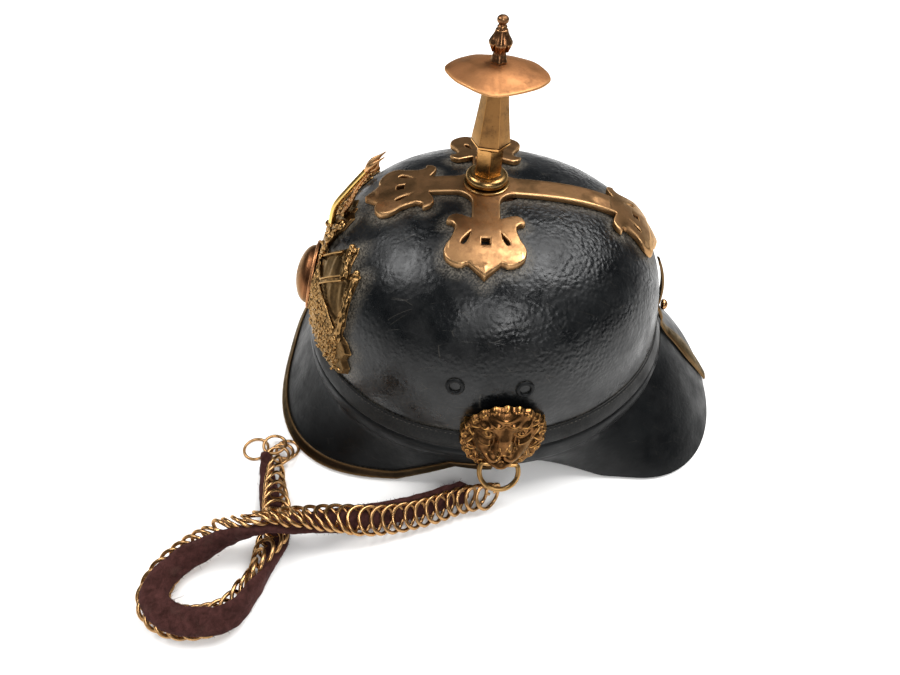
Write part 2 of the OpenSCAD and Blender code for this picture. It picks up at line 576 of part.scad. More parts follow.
// Crest above the plate: a bright bar that leans back off the dome, a flame tip and a strut
function on_plate(z, r) = [0, brow_y(0, z, plate_under + plate_t + shell_gap + r), z];
crest_z = 130;
crest_y = brow_y(0, crest_z, 0);
crest_foot = [0, crest_y - 15.4, crest_z];
crest_head = [0, crest_y + 3.6, crest_z + 25.6];
crest_tip = [0, crest_y + 16, crest_z + 39.4];
module knot(p, r) translate(p) sphere(r = r, $fn = 10);
module crest_tube(a, b, ra, rb) hull() {
  knot(a, ra);
  knot(b, rb);
}
module plate_crest() color("#b98d4c") {
  crest_tube(on_plate(crest_z - 12, 4), crest_foot, 3, 2.6);
  crest_tube(crest_foot, crest_head, 2.6, 2.2);
  crest_tube(crest_head, crest_tip, 2.4, 0.8);
  crest_tube(crest_head, crest_tip + [4, 1, -3], 1.8, 0.8);
  crest_tube(crest_head, crest_tip + [-4, 1, -3], 1.8, 0.8);
  crest_tube(crest_head + [0, 1, -2], on_plate(crest_z - 6, 2.8), 1.8, 1.6);
}

// Lion mask: relief over the wall as bumps round the nose, brows, muzzle and mane
mane_curls = 15;
lion_post_r = 2;
lion_post_z = [lion_z + 1.5, lion_z + 17];
mouth_z = lion_z - 21;
mouth_x = skull_w / 2 + 8;
leg_y = 10.4;
slot_half = ring_wire + 0.5;
// Height and clear offset of the mask's back over the wall, the band and the bead
lion_seat = [[0, 5.9], [40, 5.9], [42, 5.3], [47, 4.1], [53, 2.3], [55, 0.6], [200, 0.6]];
function seat_off(z) = let (i = len([for (q = lion_seat) if (q[0] <= z) 1]) - 1, a = lion_seat[i],
    b = lion_seat[i + 1])
  mix(a[1], b[1], (z - a[0]) / (b[0] - a[0]));
module lion_post(side, z, r) translate([side * (wall_x(lion_y, z) - 12), lion_y, z]) rotate([0, side
    * 90, 0])
  cylinder(h = 24, r = r);
function mane_edge(a) = 1 + 0.035 * cos(mane_curls * a);
function mask_relief(a, b, r, phi) = lion_relief * sqrt(max(0, 1 - 0.92 * r * r))
  + 4.4 * swell(a, b + 7, 8.5, 5.5) + 3.4 * swell(a, b - 1, 3.4, 9) + 2.4 * swell(abs(a) - 7, b - 8,
    4.5, 2.8)
  - 2.2 * swell(abs(a) - 7.5, b - 3.4, 3, 2.2) + 2.6 * swell(a, b + 19, 7, 4)
  - 2.6 * swell(a, b + 13.6, 7, 1.4)
  + 1.5 * (0.4 + cos(mane_curls * phi)) * exp(-pow((r - 0.86) / 0.1, 2));
function mask_pt(phi, r, front) = let (
    a = lion_half_w * r * mane_edge(phi) * sin(phi), b = -lion_half_h * r * mane_edge(phi) * cos(phi),
    back = wall_x(lion_y + a, lion_z + b) + seat_off(lion_z + b), flat = wall_x(lion_y + a, wall_top) + 4.6
  ) [front ? max(back + 1, flat + mask_relief(a, b, r, phi)) : back, lion_y + a, lion_z + b];
mask_steps = [0.03, 0.14, 0.26, 0.38, 0.5, 0.62, 0.74, 0.86, 0.94, 1];
module lion_mask() difference() {
  union() {
    skin([for (i = [0 : 44]) let (phi = -8 * i) concat(
      [for (r = mask_steps) mask_pt(phi, r, true)],
      [for (j = [len(mask_steps) - 1 : -1 : 0]) mask_pt(phi, mask_steps[j], false)])], closed = true);
    translate([skull_w / 2 + 5.4, lion_y, lion_z]) rotate([0, 90, 0]) cylinder(h = 6, r = 2.5);
    for (z = lion_post_z) translate([wall_x(lion_y, z) - skull_t - 4.1, lion_y, z]) rotate([0, 90, 0])
      cylinder(h = 12, r = lion_post_r);
  }
  for (m = [-1, 1]) translate([skull_w / 2, lion_y + m * leg_y - slot_half, 0])
    cube([30, 2 * slot_half, mouth_z + slot_half + 0.4]);
  translate([mouth_x, lion_y - 14, mouth_z]) rotate([-90, 0, 0]) cylinder(h = 28, r = ring_wire + run_gap);
}
module lion_left() color("#a87a3e") lion_mask();
module lion_right() color("#a87a3e") mirror([1, 0, 0]) lion_mask();

// Ring in the lion's mouth, hinged on two pins along Y
ring_tilt_left = 30;
ring_tilt_right = 0;
ring_drop = sqrt(ring_r * ring_r - leg_y * leg_y);
leg_angle = acos(ring_drop / ring_r);
pin_reach = 6;
knuckle_r = ring_wire + 0.2;
module mouth_ring(tilt) translate([mouth_x, lion_y, mouth_z]) rotate([0, -tilt, 0]) {
  translate([0, 0, -ring_drop]) rotate([0, 90, 0]) rotate([0, 0, leg_angle - 180])
    rotate_extrude(angle = 360 - 2 * leg_angle) translate([ring_r, 0]) circle(r = ring_wire);
  for (m = [-1, 1]) translate([0, m > 0 ? leg_y - pin_reach : -leg_y, 0]) rotate([-90, 0, 0])
    cylinder(h = pin_reach, r = ring_wire);
  for (m = [-1, 1]) translate([0, m * leg_y, 0]) sphere(r = knuckle_r);
}
module ring_left() color("#9a7440") mouth_ring(ring_tilt_left);
module ring_right() color("#9a7440") mirror([1, 0, 0]) mouth_ring(ring_tilt_right);
module lion_nuts() color("#7d6743") for (side = [-1, 1]) for (z = lion_post_z)
  translate([side * (wall_x(lion_y, z) - skull_t - 0.9), lion_y, z]) rotate([0, side * -90, 0])
    hex_nut(lion_post_r, 3.6, 2.8);

// Vent eyelets in the side walls
vent_y = [-33.9, 4.6];
vent_z = 87.4;
eyelet_r = 4.2;
module on_wall(side, y, z) {
  x = wall_x(y, z);
  e = 0.5;
  n = [1, -(wall_x(y + e, z) - wall_x(y - e, z)) / (2 * e), -(wall_x(y, z + e) - wall_x(y, z - e))
    / (2 * e)];
  turn = atan2(n[1], n[0]);
  lift = acos(n[2] / norm(n));
  mirror([side < 0 ? 1 : 0, 0, 0]) translate([x, y, z]) rotate([0, lift, turn]) children();
}
module vent_eyelets() color("#121314") for (side = [-1, 1]) for (y = vent_y) on_wall(side, y, vent_z)
  translate([0, 0, -skull_t - 0.6]) rotate_extrude() polygon([[2.7, 0], [eyelet_r - 0.1, 0],
    [eyelet_r - 0.1, skull_t + 0.9], [5.4, skull_t + 0.9], [5.4, skull_t + 1.3], [4.4, skull_t + 1.9],
    [3.2, skull_t + 1.8], [2.7, skull_t + 1.2]]);

// Lining: sweatband, tongues and the lace that draws them together
sweat_gap = 4.6;
module sweatband() color("#5b4130") skin([for (i = [0 : plan_n - 1]) let (
    t = 360 * i / plan_n, seat = -skull_t - 0.3, out = -skull_t - sweat_gap, low = hem_z(t) + 1
  ) [wall_pt(t, low, seat), wall_pt(t, low + 3, seat), wall_pt(t, low + 9, out), wall_pt(t, low
    + sweat_h, out),
    wall_pt(t, low + sweat_h, out - sweat_t), wall_pt(t, low + 9, out - sweat_t),
    wall_pt(t, low + 3, seat - sweat_t), wall_pt(t, low, seat - sweat_t)]], closed = true);
tongue_z = 110;
tongue_t = 1.2;
tongue_turn = tongue_half / skull_w * 2 * 180 / PI;
function tongue_pt(t, k, side, deep) = let (
    at = t + tongue_turn * side, low = hem_z(t) + sweat_h - 5,
    a = wall_pt(at, low, -skull_t - sweat_gap - sweat_t - 0.4 - deep),
    c = [lace_ring * sin(t + 7 * side), skull_y - lace_ring * cos(t + 7 * side), tongue_z - deep],
    b = [mix(a[0], c[0], 0.2 + deep * 0.01), mix(a[1], c[1], 0.2 + deep * 0.01), tongue_z - 3 - deep]
  ) a * pow(1 - k, 2) + b * 2 * k * (1 - k) + c * k * k;
module liner_tongues() color("#6a4d38") for (i = [0 : tongue_count - 1]) {
  t = 360 * (i + 0.5) / tongue_count;
  skin([for (k = [0 : 0.2 : 1]) concat(
    [for (m = [-1 : 0.5 : 1]) tongue_pt(t, k, m, 0)], [for (m = [1 : -0.5 : -1]) tongue_pt(t, k, m,
      tongue_t)])], flip = true);
}
module liner_lace() color("#3a2c22") translate([0, skull_y, tongue_z + 1.4]) rotate_extrude()
  translate([lace_ring + 1.5, 0]) circle(r = 1);

// Chain strap: x, y, z of the velvet's middle and the roll that turns its chain side from up to the left
strap_route = [
  [114, -9, 9.5, 60, 2], [116, -21, 9, 60, 2], [119.5, -31, 9, 60, 2], [125.5, -43.5, 9, 58, 2], [131,
    -57.5, 9, 55, 2],
  [135.5, -71, 9.5, 45, 2], [139, -84, 10.5, 30, 2], [143, -97, 12.5, 12, 1], [147.5, -109.5, 16.5, -5, 1],
  [152, -122, 20.5, -22, 0], [155.5, -134, 22.8, -45, 0], [158.5, -145, 20.5, -68, 0], [161, -156,
    17.5, -90, 0],
  [165.5, -165, 14.5, -110, 0], [170.5, -173.5, 13, -126, 0], [177, -180.5, 12.5, -138, 0], [185, -185,
    12.5, -150, 0],
  [194, -185.5, 12.5, -162, 0], [201.5, -179, 12.5, -176, 0], [205.5, -169, 12.5, -192, 0], [206, -158,
    12.5, -208, 0],
  [204, -148, 12.5, -225, 0], [198.5, -141, 12, -242, 0], [190, -136.5, 11.5, -260, 0], [180.5, -133,
    10, -280, 0],
  [172, -131, 8.4, -298, 0], [163, -130, 6.6, -318, 0], [154, -130, 5, -336, 0], [144, -132.5, 4.2,
    -352, 0],
  [134.5, -136.5, 4.6, -365, 0], [124.5, -140.5, 5.5, -378, 0], [114.5, -143.5, 6.3, -390, 0], [105,
    -146, 6.8, -401, 0],
  [97.5, -147.5, 7, -406, 0]];
strap_steps = 2;
strap_line = curve(strap_route, strap_steps);
function spot(q) = [q[0], q[1], q[2]];
function along(line, i) = let (n = len(line) - 1) unit(spot(line[min(n, i + 1)]) - spot(line[max(0,
    i - 1)]));
function strap_side(h, roll) = let (left = unit(cross([0, 0, 1], h)), up = cross(h, left))
  [up * cos(roll) + left * sin(roll), left * cos(roll) - up * sin(roll)];
velvet_loop = [for (a = [0 : 36 : 324]) [cos(a), sin(a)]];
velvet_from = 2;
module velvet_strap() color("#4a2229") skin([for (i = [velvet_from : len(strap_line) - 1]) let (
    q = strap_line[i], f = strap_side(along(strap_line, i), q[3])
  ) [for (c = velvet_loop) spot(q) + f[1] * c[0] * velvet_w / 2 + f[0] * c[1] * velvet_t / 2]],
    flip = true);

// Chain rings laid by distance along their own line, leaning by turns to pass through each other
link_lean = 12.4;
link_lift = velvet_t / 2 + link_wire - 0.45;
chain_line = [for (i = [0 : len(strap_line) - 1]) let (
    q = strap_line[i], f = strap_side(along(strap_line, i), q[3]),
    p = spot(q) + f[0] * (link_lift + link_r * sin(19)) + f[1] * q[4]
  ) [p[0], p[1], p[2], f[0], q[3]]];
step_len = [for (i = [1 : len(chain_line) - 1]) norm(spot(chain_line[i]) - spot(chain_line[i - 1]))];
function sum_to(v, i) = i <= 0 ? 0 : v[i - 1] + sum_to(v, i - 1);
step_sum = [for (i = [0 : len(step_len)]) sum_to(step_len, i)];
link_count = floor((step_sum[len(step_sum) - 1] - 3) / link_pitch);
function span_of(d) = [for (i = [0 : len(step_len) - 1]) if (step_sum[i] <= d && d <= step_sum[i + 1])
    i][0];
module link_ring(r, wire) rotate_extrude() translate([r, 0]) circle(r = wire);
module stand(origin, ax, az) {
  lift = acos(max(-1, min(1, az[2])));
  turn = norm([az[0], az[1]]) < 0.0001 ? 0 : atan2(az[1], az[0]);
  e1 = [cos(lift) * cos(turn), cos(lift) * sin(turn), -sin(lift)];
  e2 = [-sin(turn), cos(turn), 0];
  translate(origin) rotate([0, lift, turn]) rotate([0, 0, atan2(ax * e2, ax * e1)]) children();
}
module chain_rings() color("#b89050") for (k = [0 : link_count - 1]) {
  d = 2 + k * link_pitch;
  i = span_of(d);
  w = (d - step_sum[i]) / step_len[i];
  a = chain_line[i];
  b = chain_line[i + 1];
  h = unit(mix(along(chain_line, i), along(chain_line, i + 1), w));
  n = mix(a[3], b[3], w);
  up = unit(n - h * (n * h));
  lean = link_lean + abs(b[4] - a[4]) / step_len[i] * link_pitch / 2;
  bend = (along(chain_line, i + 1) - along(chain_line, i)) * up / step_len[i];
  settle = link_r * (sin(lean + abs(b[4] - a[4]) / step_len[i] * link_r * 0.35) - sin(19) + max(0,
    bend) * link_r / 2);
  stand(mix(spot(a), spot(b), w) + up * settle, h, up) rotate([lean * (k % 2 == 0 ? 1 : -1), 0, 0])
    link_ring(link_r, link_wire);
}

// Open hook between the left ring and the chain
hook_at = [117.4, -6.5, 14.55];
module chain_hook() color("#c09a5c") translate(hook_at) rotate([0, 0, -62]) rotate([90, 62, 0])
  rotate_extrude(angle = 320) translate([4.4, 0]) circle(r = 1);

// Loose rings at the far end, and the long end ring
loose_rings = [[87.8, -137.9, 0.9, 0], [88.3, -141.3, 2.6, 0], [87.3, -145.7, 4.3, 0]];
module chain_loose_rings() color("#b89050") for (q = loose_rings) translate(spot(q)) rotate([0, q[3], 40])
  link_ring(link_r, link_wire);
end_ring_at = [88.6, -157.2, 0.95];
end_ring_r = 7.8;
end_ring_wire = 0.9;
module chain_end_ring() color("#b4936a") translate(end_ring_at) link_ring(end_ring_r, end_ring_wire);

skull();
skull_band();
front_visor();
front_visor_rim();
front_visor_lining();
rear_visor();
rear_visor_lining();
rear_spine();
spine_stud();
spine_nut();
cross_mount();
spike_foot_ring();
spike_column();
spike_disc();
spike_finial();
spike_rod();
crown_washer();
crown_nut();
front_plate();
plate_shield();
plate_crest();
plate_nuts();
lion_left();
lion_right();
ring_left();
ring_right();
lion_nuts();
vent_eyelets();
sweatband();
liner_tongues();
liner_lace();
velvet_strap();
chain_rings();
chain_hook();
chain_loose_rings();
chain_end_ring();
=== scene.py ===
"""Looks of the black leather parade helmet: its camera, pieces, finishes and studio.

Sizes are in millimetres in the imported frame: x to the helmet's left, y to its rear, z up from the
table. They are turned to metres when a mesh is made.
"""

from __future__ import annotations

import json
import logging
import math
import random
from dataclasses import dataclass, field
from enum import Enum
from typing import Callable, Sequence

import bmesh
import bpy
import numpy as np
from mathutils import Matrix, Vector, noise

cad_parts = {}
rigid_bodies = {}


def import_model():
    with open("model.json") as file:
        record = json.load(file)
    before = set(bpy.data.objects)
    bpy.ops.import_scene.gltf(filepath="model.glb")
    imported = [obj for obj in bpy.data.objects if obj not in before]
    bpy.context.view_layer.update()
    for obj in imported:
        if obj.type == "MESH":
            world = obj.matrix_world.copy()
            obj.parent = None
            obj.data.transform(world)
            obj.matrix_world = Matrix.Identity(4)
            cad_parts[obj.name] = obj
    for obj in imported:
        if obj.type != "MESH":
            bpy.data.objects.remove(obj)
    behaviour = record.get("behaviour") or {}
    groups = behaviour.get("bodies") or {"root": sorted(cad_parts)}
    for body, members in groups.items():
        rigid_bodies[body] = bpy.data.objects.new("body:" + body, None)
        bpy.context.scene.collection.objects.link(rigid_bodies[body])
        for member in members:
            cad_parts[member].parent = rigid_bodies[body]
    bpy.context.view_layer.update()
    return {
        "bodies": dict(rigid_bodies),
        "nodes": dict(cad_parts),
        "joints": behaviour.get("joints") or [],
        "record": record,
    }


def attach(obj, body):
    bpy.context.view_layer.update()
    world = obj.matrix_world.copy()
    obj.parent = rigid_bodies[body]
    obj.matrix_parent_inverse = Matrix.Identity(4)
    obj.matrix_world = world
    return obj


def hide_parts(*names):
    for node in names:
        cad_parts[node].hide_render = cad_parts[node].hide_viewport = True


LOG = logging.getLogger("helmet")
MM = 0.001
# points and faces of a mesh, one number or an array of them, and what a shader's socket takes
Mesh = tuple[np.ndarray, list]
Value = float | np.ndarray
Input = float | bpy.types.NodeSocket


class Side(Enum):
    """The wearer's side that a piece is on."""

    LEFT = 1
    RIGHT = -1


def linear(code: str) -> tuple[float, float, float, float]:
    """Turns an sRGB hex colour into the linear colour that the shaders use.

    Args:
        code: colour such as "#a9744f".

    Returns:
        Linear red, green, blue and an alpha of 1.
    """
    parts = [int(code[i : i + 2], 16) / 255 for i in (1, 3, 5)]
    r, g, b = (c / 12.92 if c <= 0.04045 else ((c + 0.055) / 1.055) ** 2.4 for c in parts)
    return (r, g, b, 1.0)


def per_mm(size: float) -> float:
    """Texture scale whose pattern repeats about every `size` millimetres."""
    return 1000.0 / size


# ---------------------------------------------------------------- materials


class Graph:
    """A material's node tree, built one node at a time."""

    def __init__(self, name: str) -> None:
        """Starts an empty tree for a new material."""
        self.material = bpy.data.materials.new(name)
        self.material.use_nodes = True
        self.tree = self.material.node_tree
        self.tree.nodes.clear()
        self.place = self.add("ShaderNodeTexCoord").outputs["Object"]

    def add(self, kind: str, inputs: dict | None = None, **settings) -> bpy.types.Node:
        """Adds a node with its settings, values and links.

        Args:
            kind: Blender's node type.
            inputs: socket name or number to a value or to an output socket.
            settings: properties of the node.

        Returns:
            The new node.
        """
        node = self.tree.nodes.new(kind)
        for key, value in settings.items():
            setattr(node, key, value)
        for key, value in (inputs or {}).items():
            if isinstance(value, bpy.types.NodeSocket):
                self.tree.links.new(value, node.inputs[key])
            else:
                node.inputs[key].default_value = value
        return node

    def noise(self, size: float, detail: float = 5.0, rough: float = 0.55, warp: float = 0.0,
              place: bpy.types.NodeSocket | None = None) -> bpy.types.NodeSocket:
        """Noise whose main features are `size` millimetres wide."""
        return self.add("ShaderNodeTexNoise", {"Vector": place or self.place, "Scale": per_mm(size),
                        "Detail": detail, "Roughness": rough, "Distortion": warp}).outputs["Fac"]

    def stretch(self, scale: tuple[float, float, float],
                turn: tuple[float, float, float] = (0, 0, 0)) -> bpy.types.NodeSocket:
        """The object's place, stretched and turned, for grain that runs one way."""
        return self.add("ShaderNodeMapping",
                        {"Vector": self.place, "Scale": scale, "Rotation": turn}).outputs[0]

    def ramp(self, value: bpy.types.NodeSocket, low: float, high: float, start: float = 0.0,
             end: float = 1.0) -> bpy.types.NodeSocket:
        """Value turned from the span low..high to start..end, held at both ends."""
        return self.add("ShaderNodeMapRange", {"Value": value, "From Min": low, "From Max": high,
                        "To Min": start, "To Max": end}).outputs[0]

    def math(self, what: str, a: Input, b: Input = 0.0) -> bpy.types.NodeSocket:
        """One step of arithmetic on two numbers or sockets."""
        return self.add("ShaderNodeMath", {0: a, 1: b}, operation=what).outputs[0]

    def times(self, a: Input, b: Input) -> bpy.types.NodeSocket:
        """Product of two numbers or sockets."""
        return self.math("MULTIPLY", a, b)

    def plus(self, a: Input, b: Input) -> bpy.types.NodeSocket:
        """Sum of two numbers or sockets."""
        return self.math("ADD", a, b)

    def mix(self, amount: Input, a: str | bpy.types.NodeSocket,
            b: str | bpy.types.NodeSocket) -> bpy.types.NodeSocket:
        """Mix of two colours, given as hex text or sockets."""
        node = self.add("ShaderNodeMix", {"Factor": amount}, data_type="RGBA")
        for key, value in ((6, a), (7, b)):
            if isinstance(value, str):
                node.inputs[key].default_value = linear(value)
            else:
                self.tree.links.new(value, node.inputs[key])
        return node.outputs[2]

    def raised(self) -> bpy.types.NodeSocket:
        """How far the surface stands out at a point: 0.5 on flat parts, more on edges and ridges."""
        return self.add("ShaderNodeNewGeometry").outputs["Pointiness"]

    def painted(self, name: str) -> bpy.types.NodeSocket:
        """A value stored on the mesh's points."""
        return self.add("ShaderNodeAttribute", attribute_name=name).outputs["Fac"]

    def shade(self, distance: float) -> bpy.types.NodeSocket:
        """1 where the surface lies open, falling to 0 in corners closer than `distance` millimetres."""
        return self.add("ShaderNodeAmbientOcclusion", {"Distance": distance * MM}, samples=6).outputs["AO"]

    def bump(self, height: bpy.types.NodeSocket, depth: float,
             normal: bpy.types.NodeSocket | None = None) -> bpy.types.NodeSocket:
        """Relief `depth` millimetres deep."""
        inputs = {"Height": height, "Distance": depth * MM, "Strength": 1.0}
        if normal is not None:
            inputs["Normal"] = normal
        return self.add("ShaderNodeBump", inputs).outputs[0]

    def surface(self, **inputs) -> bpy.types.Material:
        """Ends the tree in one Principled surface; underscores in names stand for spaces."""
        names = {key.replace("_", " "): value for key, value in inputs.items()}
        shader = self.add("ShaderNodeBsdfPrincipled", names)
        self.add("ShaderNodeOutputMaterial", {"Surface": shader.outputs[0]})
        return self.material


@dataclass(frozen=True)
class LacqueredLeather:
    """Cow hide, blocked over a form and black lacquered; old coats crackle, dull and gather dust."""

    name: str
    colour: str = "#050607"
    dulled: str = "#0c0e0f"
    dust: str = "#6f685c"
    pebble: float = 0.16
    gloss: float = 0.22
    dull: float = 0.46
    shine: float = 0.34
    scratches: float = 0.16

    def build(self) -> bpy.types.Material:
        """Builds the node tree.

        Returns:
            The material.
        """
        g = Graph(self.name)
        # the hide's pebbles show through the lacquer, in broad patches that are stronger or weaker
        patch = g.ramp(g.noise(46, 2.0, 0.5), 0.34, 0.62, 0.35, 1.0)
        strong = g.times(patch, g.ramp(g.painted("pebble"), 0.0, 1.0, 0.25, 1.0))
        warped = g.add("ShaderNodeVectorMath", {0: g.place, 1: g.add("ShaderNodeVectorMath", {
            0: g.add("ShaderNodeTexNoise",
                     {"Vector": g.place, "Scale": per_mm(5), "Detail": 3.0}).outputs["Color"],
            1: (0.0022, 0.0022, 0.0022)}, operation="MULTIPLY").outputs[0]}, operation="ADD").outputs[0]
        cells = g.add("ShaderNodeTexVoronoi", {"Vector": warped, "Scale": per_mm(2.5), "Smoothness": 0.7},
                      feature="SMOOTH_F1").outputs["Distance"]
        grain = g.noise(0.75, 4.0, 0.6)
        relief = g.plus(g.times(cells, g.times(strong, -1.0)),
                        g.times(grain, g.times(strong, 0.34)))
        broad = g.bump(g.noise(15, 3.0, 0.5), 0.55)
        fine = g.bump(relief, self.pebble * 3.2, broad)
        # hairline scratches run every way
        scratch = g.add("ShaderNodeTexVoronoi", {"Vector": g.stretch((1.0, 0.16, 0.5), (0.4, 0.9, 0.3)),
                        "Scale": per_mm(7)}, feature="DISTANCE_TO_EDGE").outputs["Distance"]
        hair = g.times(g.ramp(scratch, 0.0, 0.012, 1.0, 0.0), g.ramp(g.noise(9, 2.0), 0.52, 0.6))
        normal = g.bump(g.times(hair, -1.0), 0.03, fine)
        # dust and worn lacquer gather at the brass edges and in the seams
        speckle = g.ramp(g.noise(1.1, 6.0, 0.75), 0.47, 0.56)
        worn = g.times(g.painted("wear"), g.plus(g.times(speckle, 0.62), 0.1))
        corner = g.times(g.ramp(g.shade(3.0), 0.25, 0.8, 0.3, 0.0), speckle)
        dirt = g.math("MINIMUM", g.plus(worn, corner), 0.85)
        body = g.mix(g.ramp(g.noise(24, 4.0), 0.4, 0.68), self.colour, self.dulled)
        body = g.mix(g.times(hair, self.scratches), body, self.dust)
        colour = g.mix(dirt, body, self.dust)
        rough = g.plus(g.ramp(g.noise(17, 5.0, 0.6), 0.36, 0.66, self.gloss, self.dull),
                       g.times(dirt, 0.4))
        return g.surface(Base_Color=colour, Roughness=rough, Normal=normal, IOR=1.5,
                         Specular_IOR_Level=self.shine)


@dataclass(frozen=True)
class AgedBrass:
    """Stamped, turned or cast brass: it tarnishes brown in the hollows, where painted shade darkens it
    further, and stays bright on the edges, where a painted highlight is added.
    """

    name: str
    bright: str = "#d9a557"
    body: str = "#a87a3c"
    tarnish_and_shade: str = "#4f3a20"
    amount: float = 0.45
    polish: float = 0.24
    grain: tuple[float, float, float] = (1.0, 1.0, 1.0)
    grain_depth: float = 0.012
    dents: float = 0.05
    edge: float = 0.04
    # reach of the darkening in the hollows, in millimetres: oxide together with painted shade
    hollow: float = 2.5

    def build(self) -> bpy.types.Material:
        """Builds the node tree.

        Returns:
            The material.
        """
        g = Graph(self.name)
        cloud = g.noise(13, 6.0, 0.62, 0.3)
        mottle = g.noise(2.6, 6.0, 0.68)
        # edges rub bright and carry a painted highlight; hollows keep the dark oxide and carry painted
        # shade
        rubbed_and_highlit = g.ramp(g.raised(), 0.5 + self.edge * 0.25, 0.5 + self.edge)
        deep = g.ramp(g.shade(self.hollow), 0.35, 0.95, 1.0, 0.0)
        stain = g.plus(g.times(cloud, 0.62), g.times(mottle, 0.38))
        darkening = g.ramp(stain, 0.62 - self.amount * 0.42, 0.78 - self.amount * 0.3)
        darkening = g.math("MAXIMUM", g.times(darkening, 0.8), deep)
        darkening = g.times(darkening, g.ramp(rubbed_and_highlit, 0.0, 1.0, 1.0, 0.25))
        colour = g.mix(darkening, self.body, self.tarnish_and_shade)
        # bright edges: rub wear together with a painted highlight
        colour = g.mix(g.times(rubbed_and_highlit, 0.85), colour, self.bright)
        # dark pinholes of old corrosion
        pits = g.add("ShaderNodeTexVoronoi", {"Vector": g.place, "Scale": per_mm(3.1)}).outputs["Distance"]
        pit = g.times(g.ramp(pits, 0.05, 0.11, 1.0, 0.0), g.ramp(mottle, 0.5, 0.6))
        colour = g.mix(g.times(pit, 0.7), colour, self.tarnish_and_shade)
        rough = g.plus(g.ramp(cloud, 0.3, 0.7, self.polish, self.polish + 0.14), g.times(darkening, 0.2))
        lines = g.noise(0.5, 3.0, 0.6, place=g.stretch(self.grain))
        normal = g.bump(g.noise(7, 3.0), self.dents * 2.2)
        normal = g.bump(lines, self.grain_depth, normal)
        normal = g.bump(g.times(pit, -1.0), 0.04, normal)
        return g.surface(Base_Color=colour, Metallic=1.0, Roughness=rough, Normal=normal,
                         Specular_Tint=linear("#fff0d8"))


@dataclass(frozen=True)
class TannedLeather:
    """Vegetable-tanned calf: matt, darker where hands and hair have greased it."""

    name: str
    colour: str = "#6b4a30"
    greased: str = "#3a281c"

    def build(self) -> bpy.types.Material:
        """Builds the node tree.

        Returns:
            The material.
        """
        g = Graph(self.name)
        pores = g.add("ShaderNodeTexVoronoi", {"Vector": g.place, "Scale": per_mm(1.1)}).outputs["Distance"]
        fold = g.noise(11, 4.0, 0.6, 0.6)
        colour = g.mix(g.ramp(fold, 0.4, 0.66), self.colour, self.greased)
        colour = g.mix(g.ramp(g.noise(2.2, 5.0), 0.5, 0.75, 0.0, 0.35), colour, "#8a6a4a")
        normal = g.bump(pores, 0.09, g.bump(fold, 0.4))
        return g.surface(Base_Color=colour, Roughness=g.ramp(fold, 0.3, 0.7, 0.5, 0.75), Normal=normal,
                         Specular_IOR_Level=0.35)


@dataclass(frozen=True)
class Velvet:
    """Cotton velvet on a cloth base: an upright pile that darkens head-on and glows at grazing angles."""

    name: str
    pile: str = "#27130f"
    tips: str = "#4a2c29"
    bald: str = "#47352e"

    def build(self) -> bpy.types.Material:
        """Builds the node tree.

        Returns:
            The material.
        """
        g = Graph(self.name)
        crush = g.noise(4.2, 5.0, 0.65, 0.5)
        tuft = g.noise(0.55, 3.0, 0.7)
        worn = g.ramp(g.noise(9, 4.0, 0.6), 0.56, 0.68)
        colour = g.mix(g.ramp(crush, 0.3, 0.8), self.pile, self.tips)
        colour = g.mix(g.times(worn, 0.3), colour, self.bald)
        colour = g.mix(g.ramp(tuft, 0.45, 0.7, 0.0, 0.35), colour, "#120608")
        normal = g.bump(tuft, 0.35, g.bump(crush, 0.9))
        return g.surface(Base_Color=colour, Roughness=0.92, Normal=normal, Specular_IOR_Level=0.1,
                         Sheen_Weight=0.3, Sheen_Roughness=0.4, Sheen_Tint=linear("#8a5a58"))


@dataclass(frozen=True)
class Thread:
    """Waxed linen thread, twisted from two plies."""

    name: str
    colour: str = "#141414"

    def build(self) -> bpy.types.Material:
        """Returns the material."""
        g = Graph(self.name)
        ply = g.add("ShaderNodeTexWave",
                    {"Vector": g.place, "Scale": per_mm(0.9) / 6.28, "Distortion": 2.0}).outputs["Fac"]
        colour = g.mix(g.ramp(g.noise(1.2, 3.0), 0.4, 0.7), self.colour, "#4a4238")
        return g.surface(Base_Color=colour, Roughness=0.62, Normal=g.bump(ply, 0.05))


@dataclass(frozen=True)
class TableTop:
    """Smooth white-painted board."""

    name: str
    colour: str = "#f4f3f1"

    def build(self) -> bpy.types.Material:
        """Returns the material."""
        g = Graph(self.name)
        colour = g.mix(g.ramp(g.noise(60, 3.0), 0.3, 0.8, 0.0, 0.25), self.colour, "#eeedeb")
        return g.surface(Base_Color=colour, Roughness=0.62, Normal=g.bump(g.noise(1.5, 3.0), 0.01),
                         Specular_IOR_Level=0.15)


# ---------------------------------------------------------------- mesh building


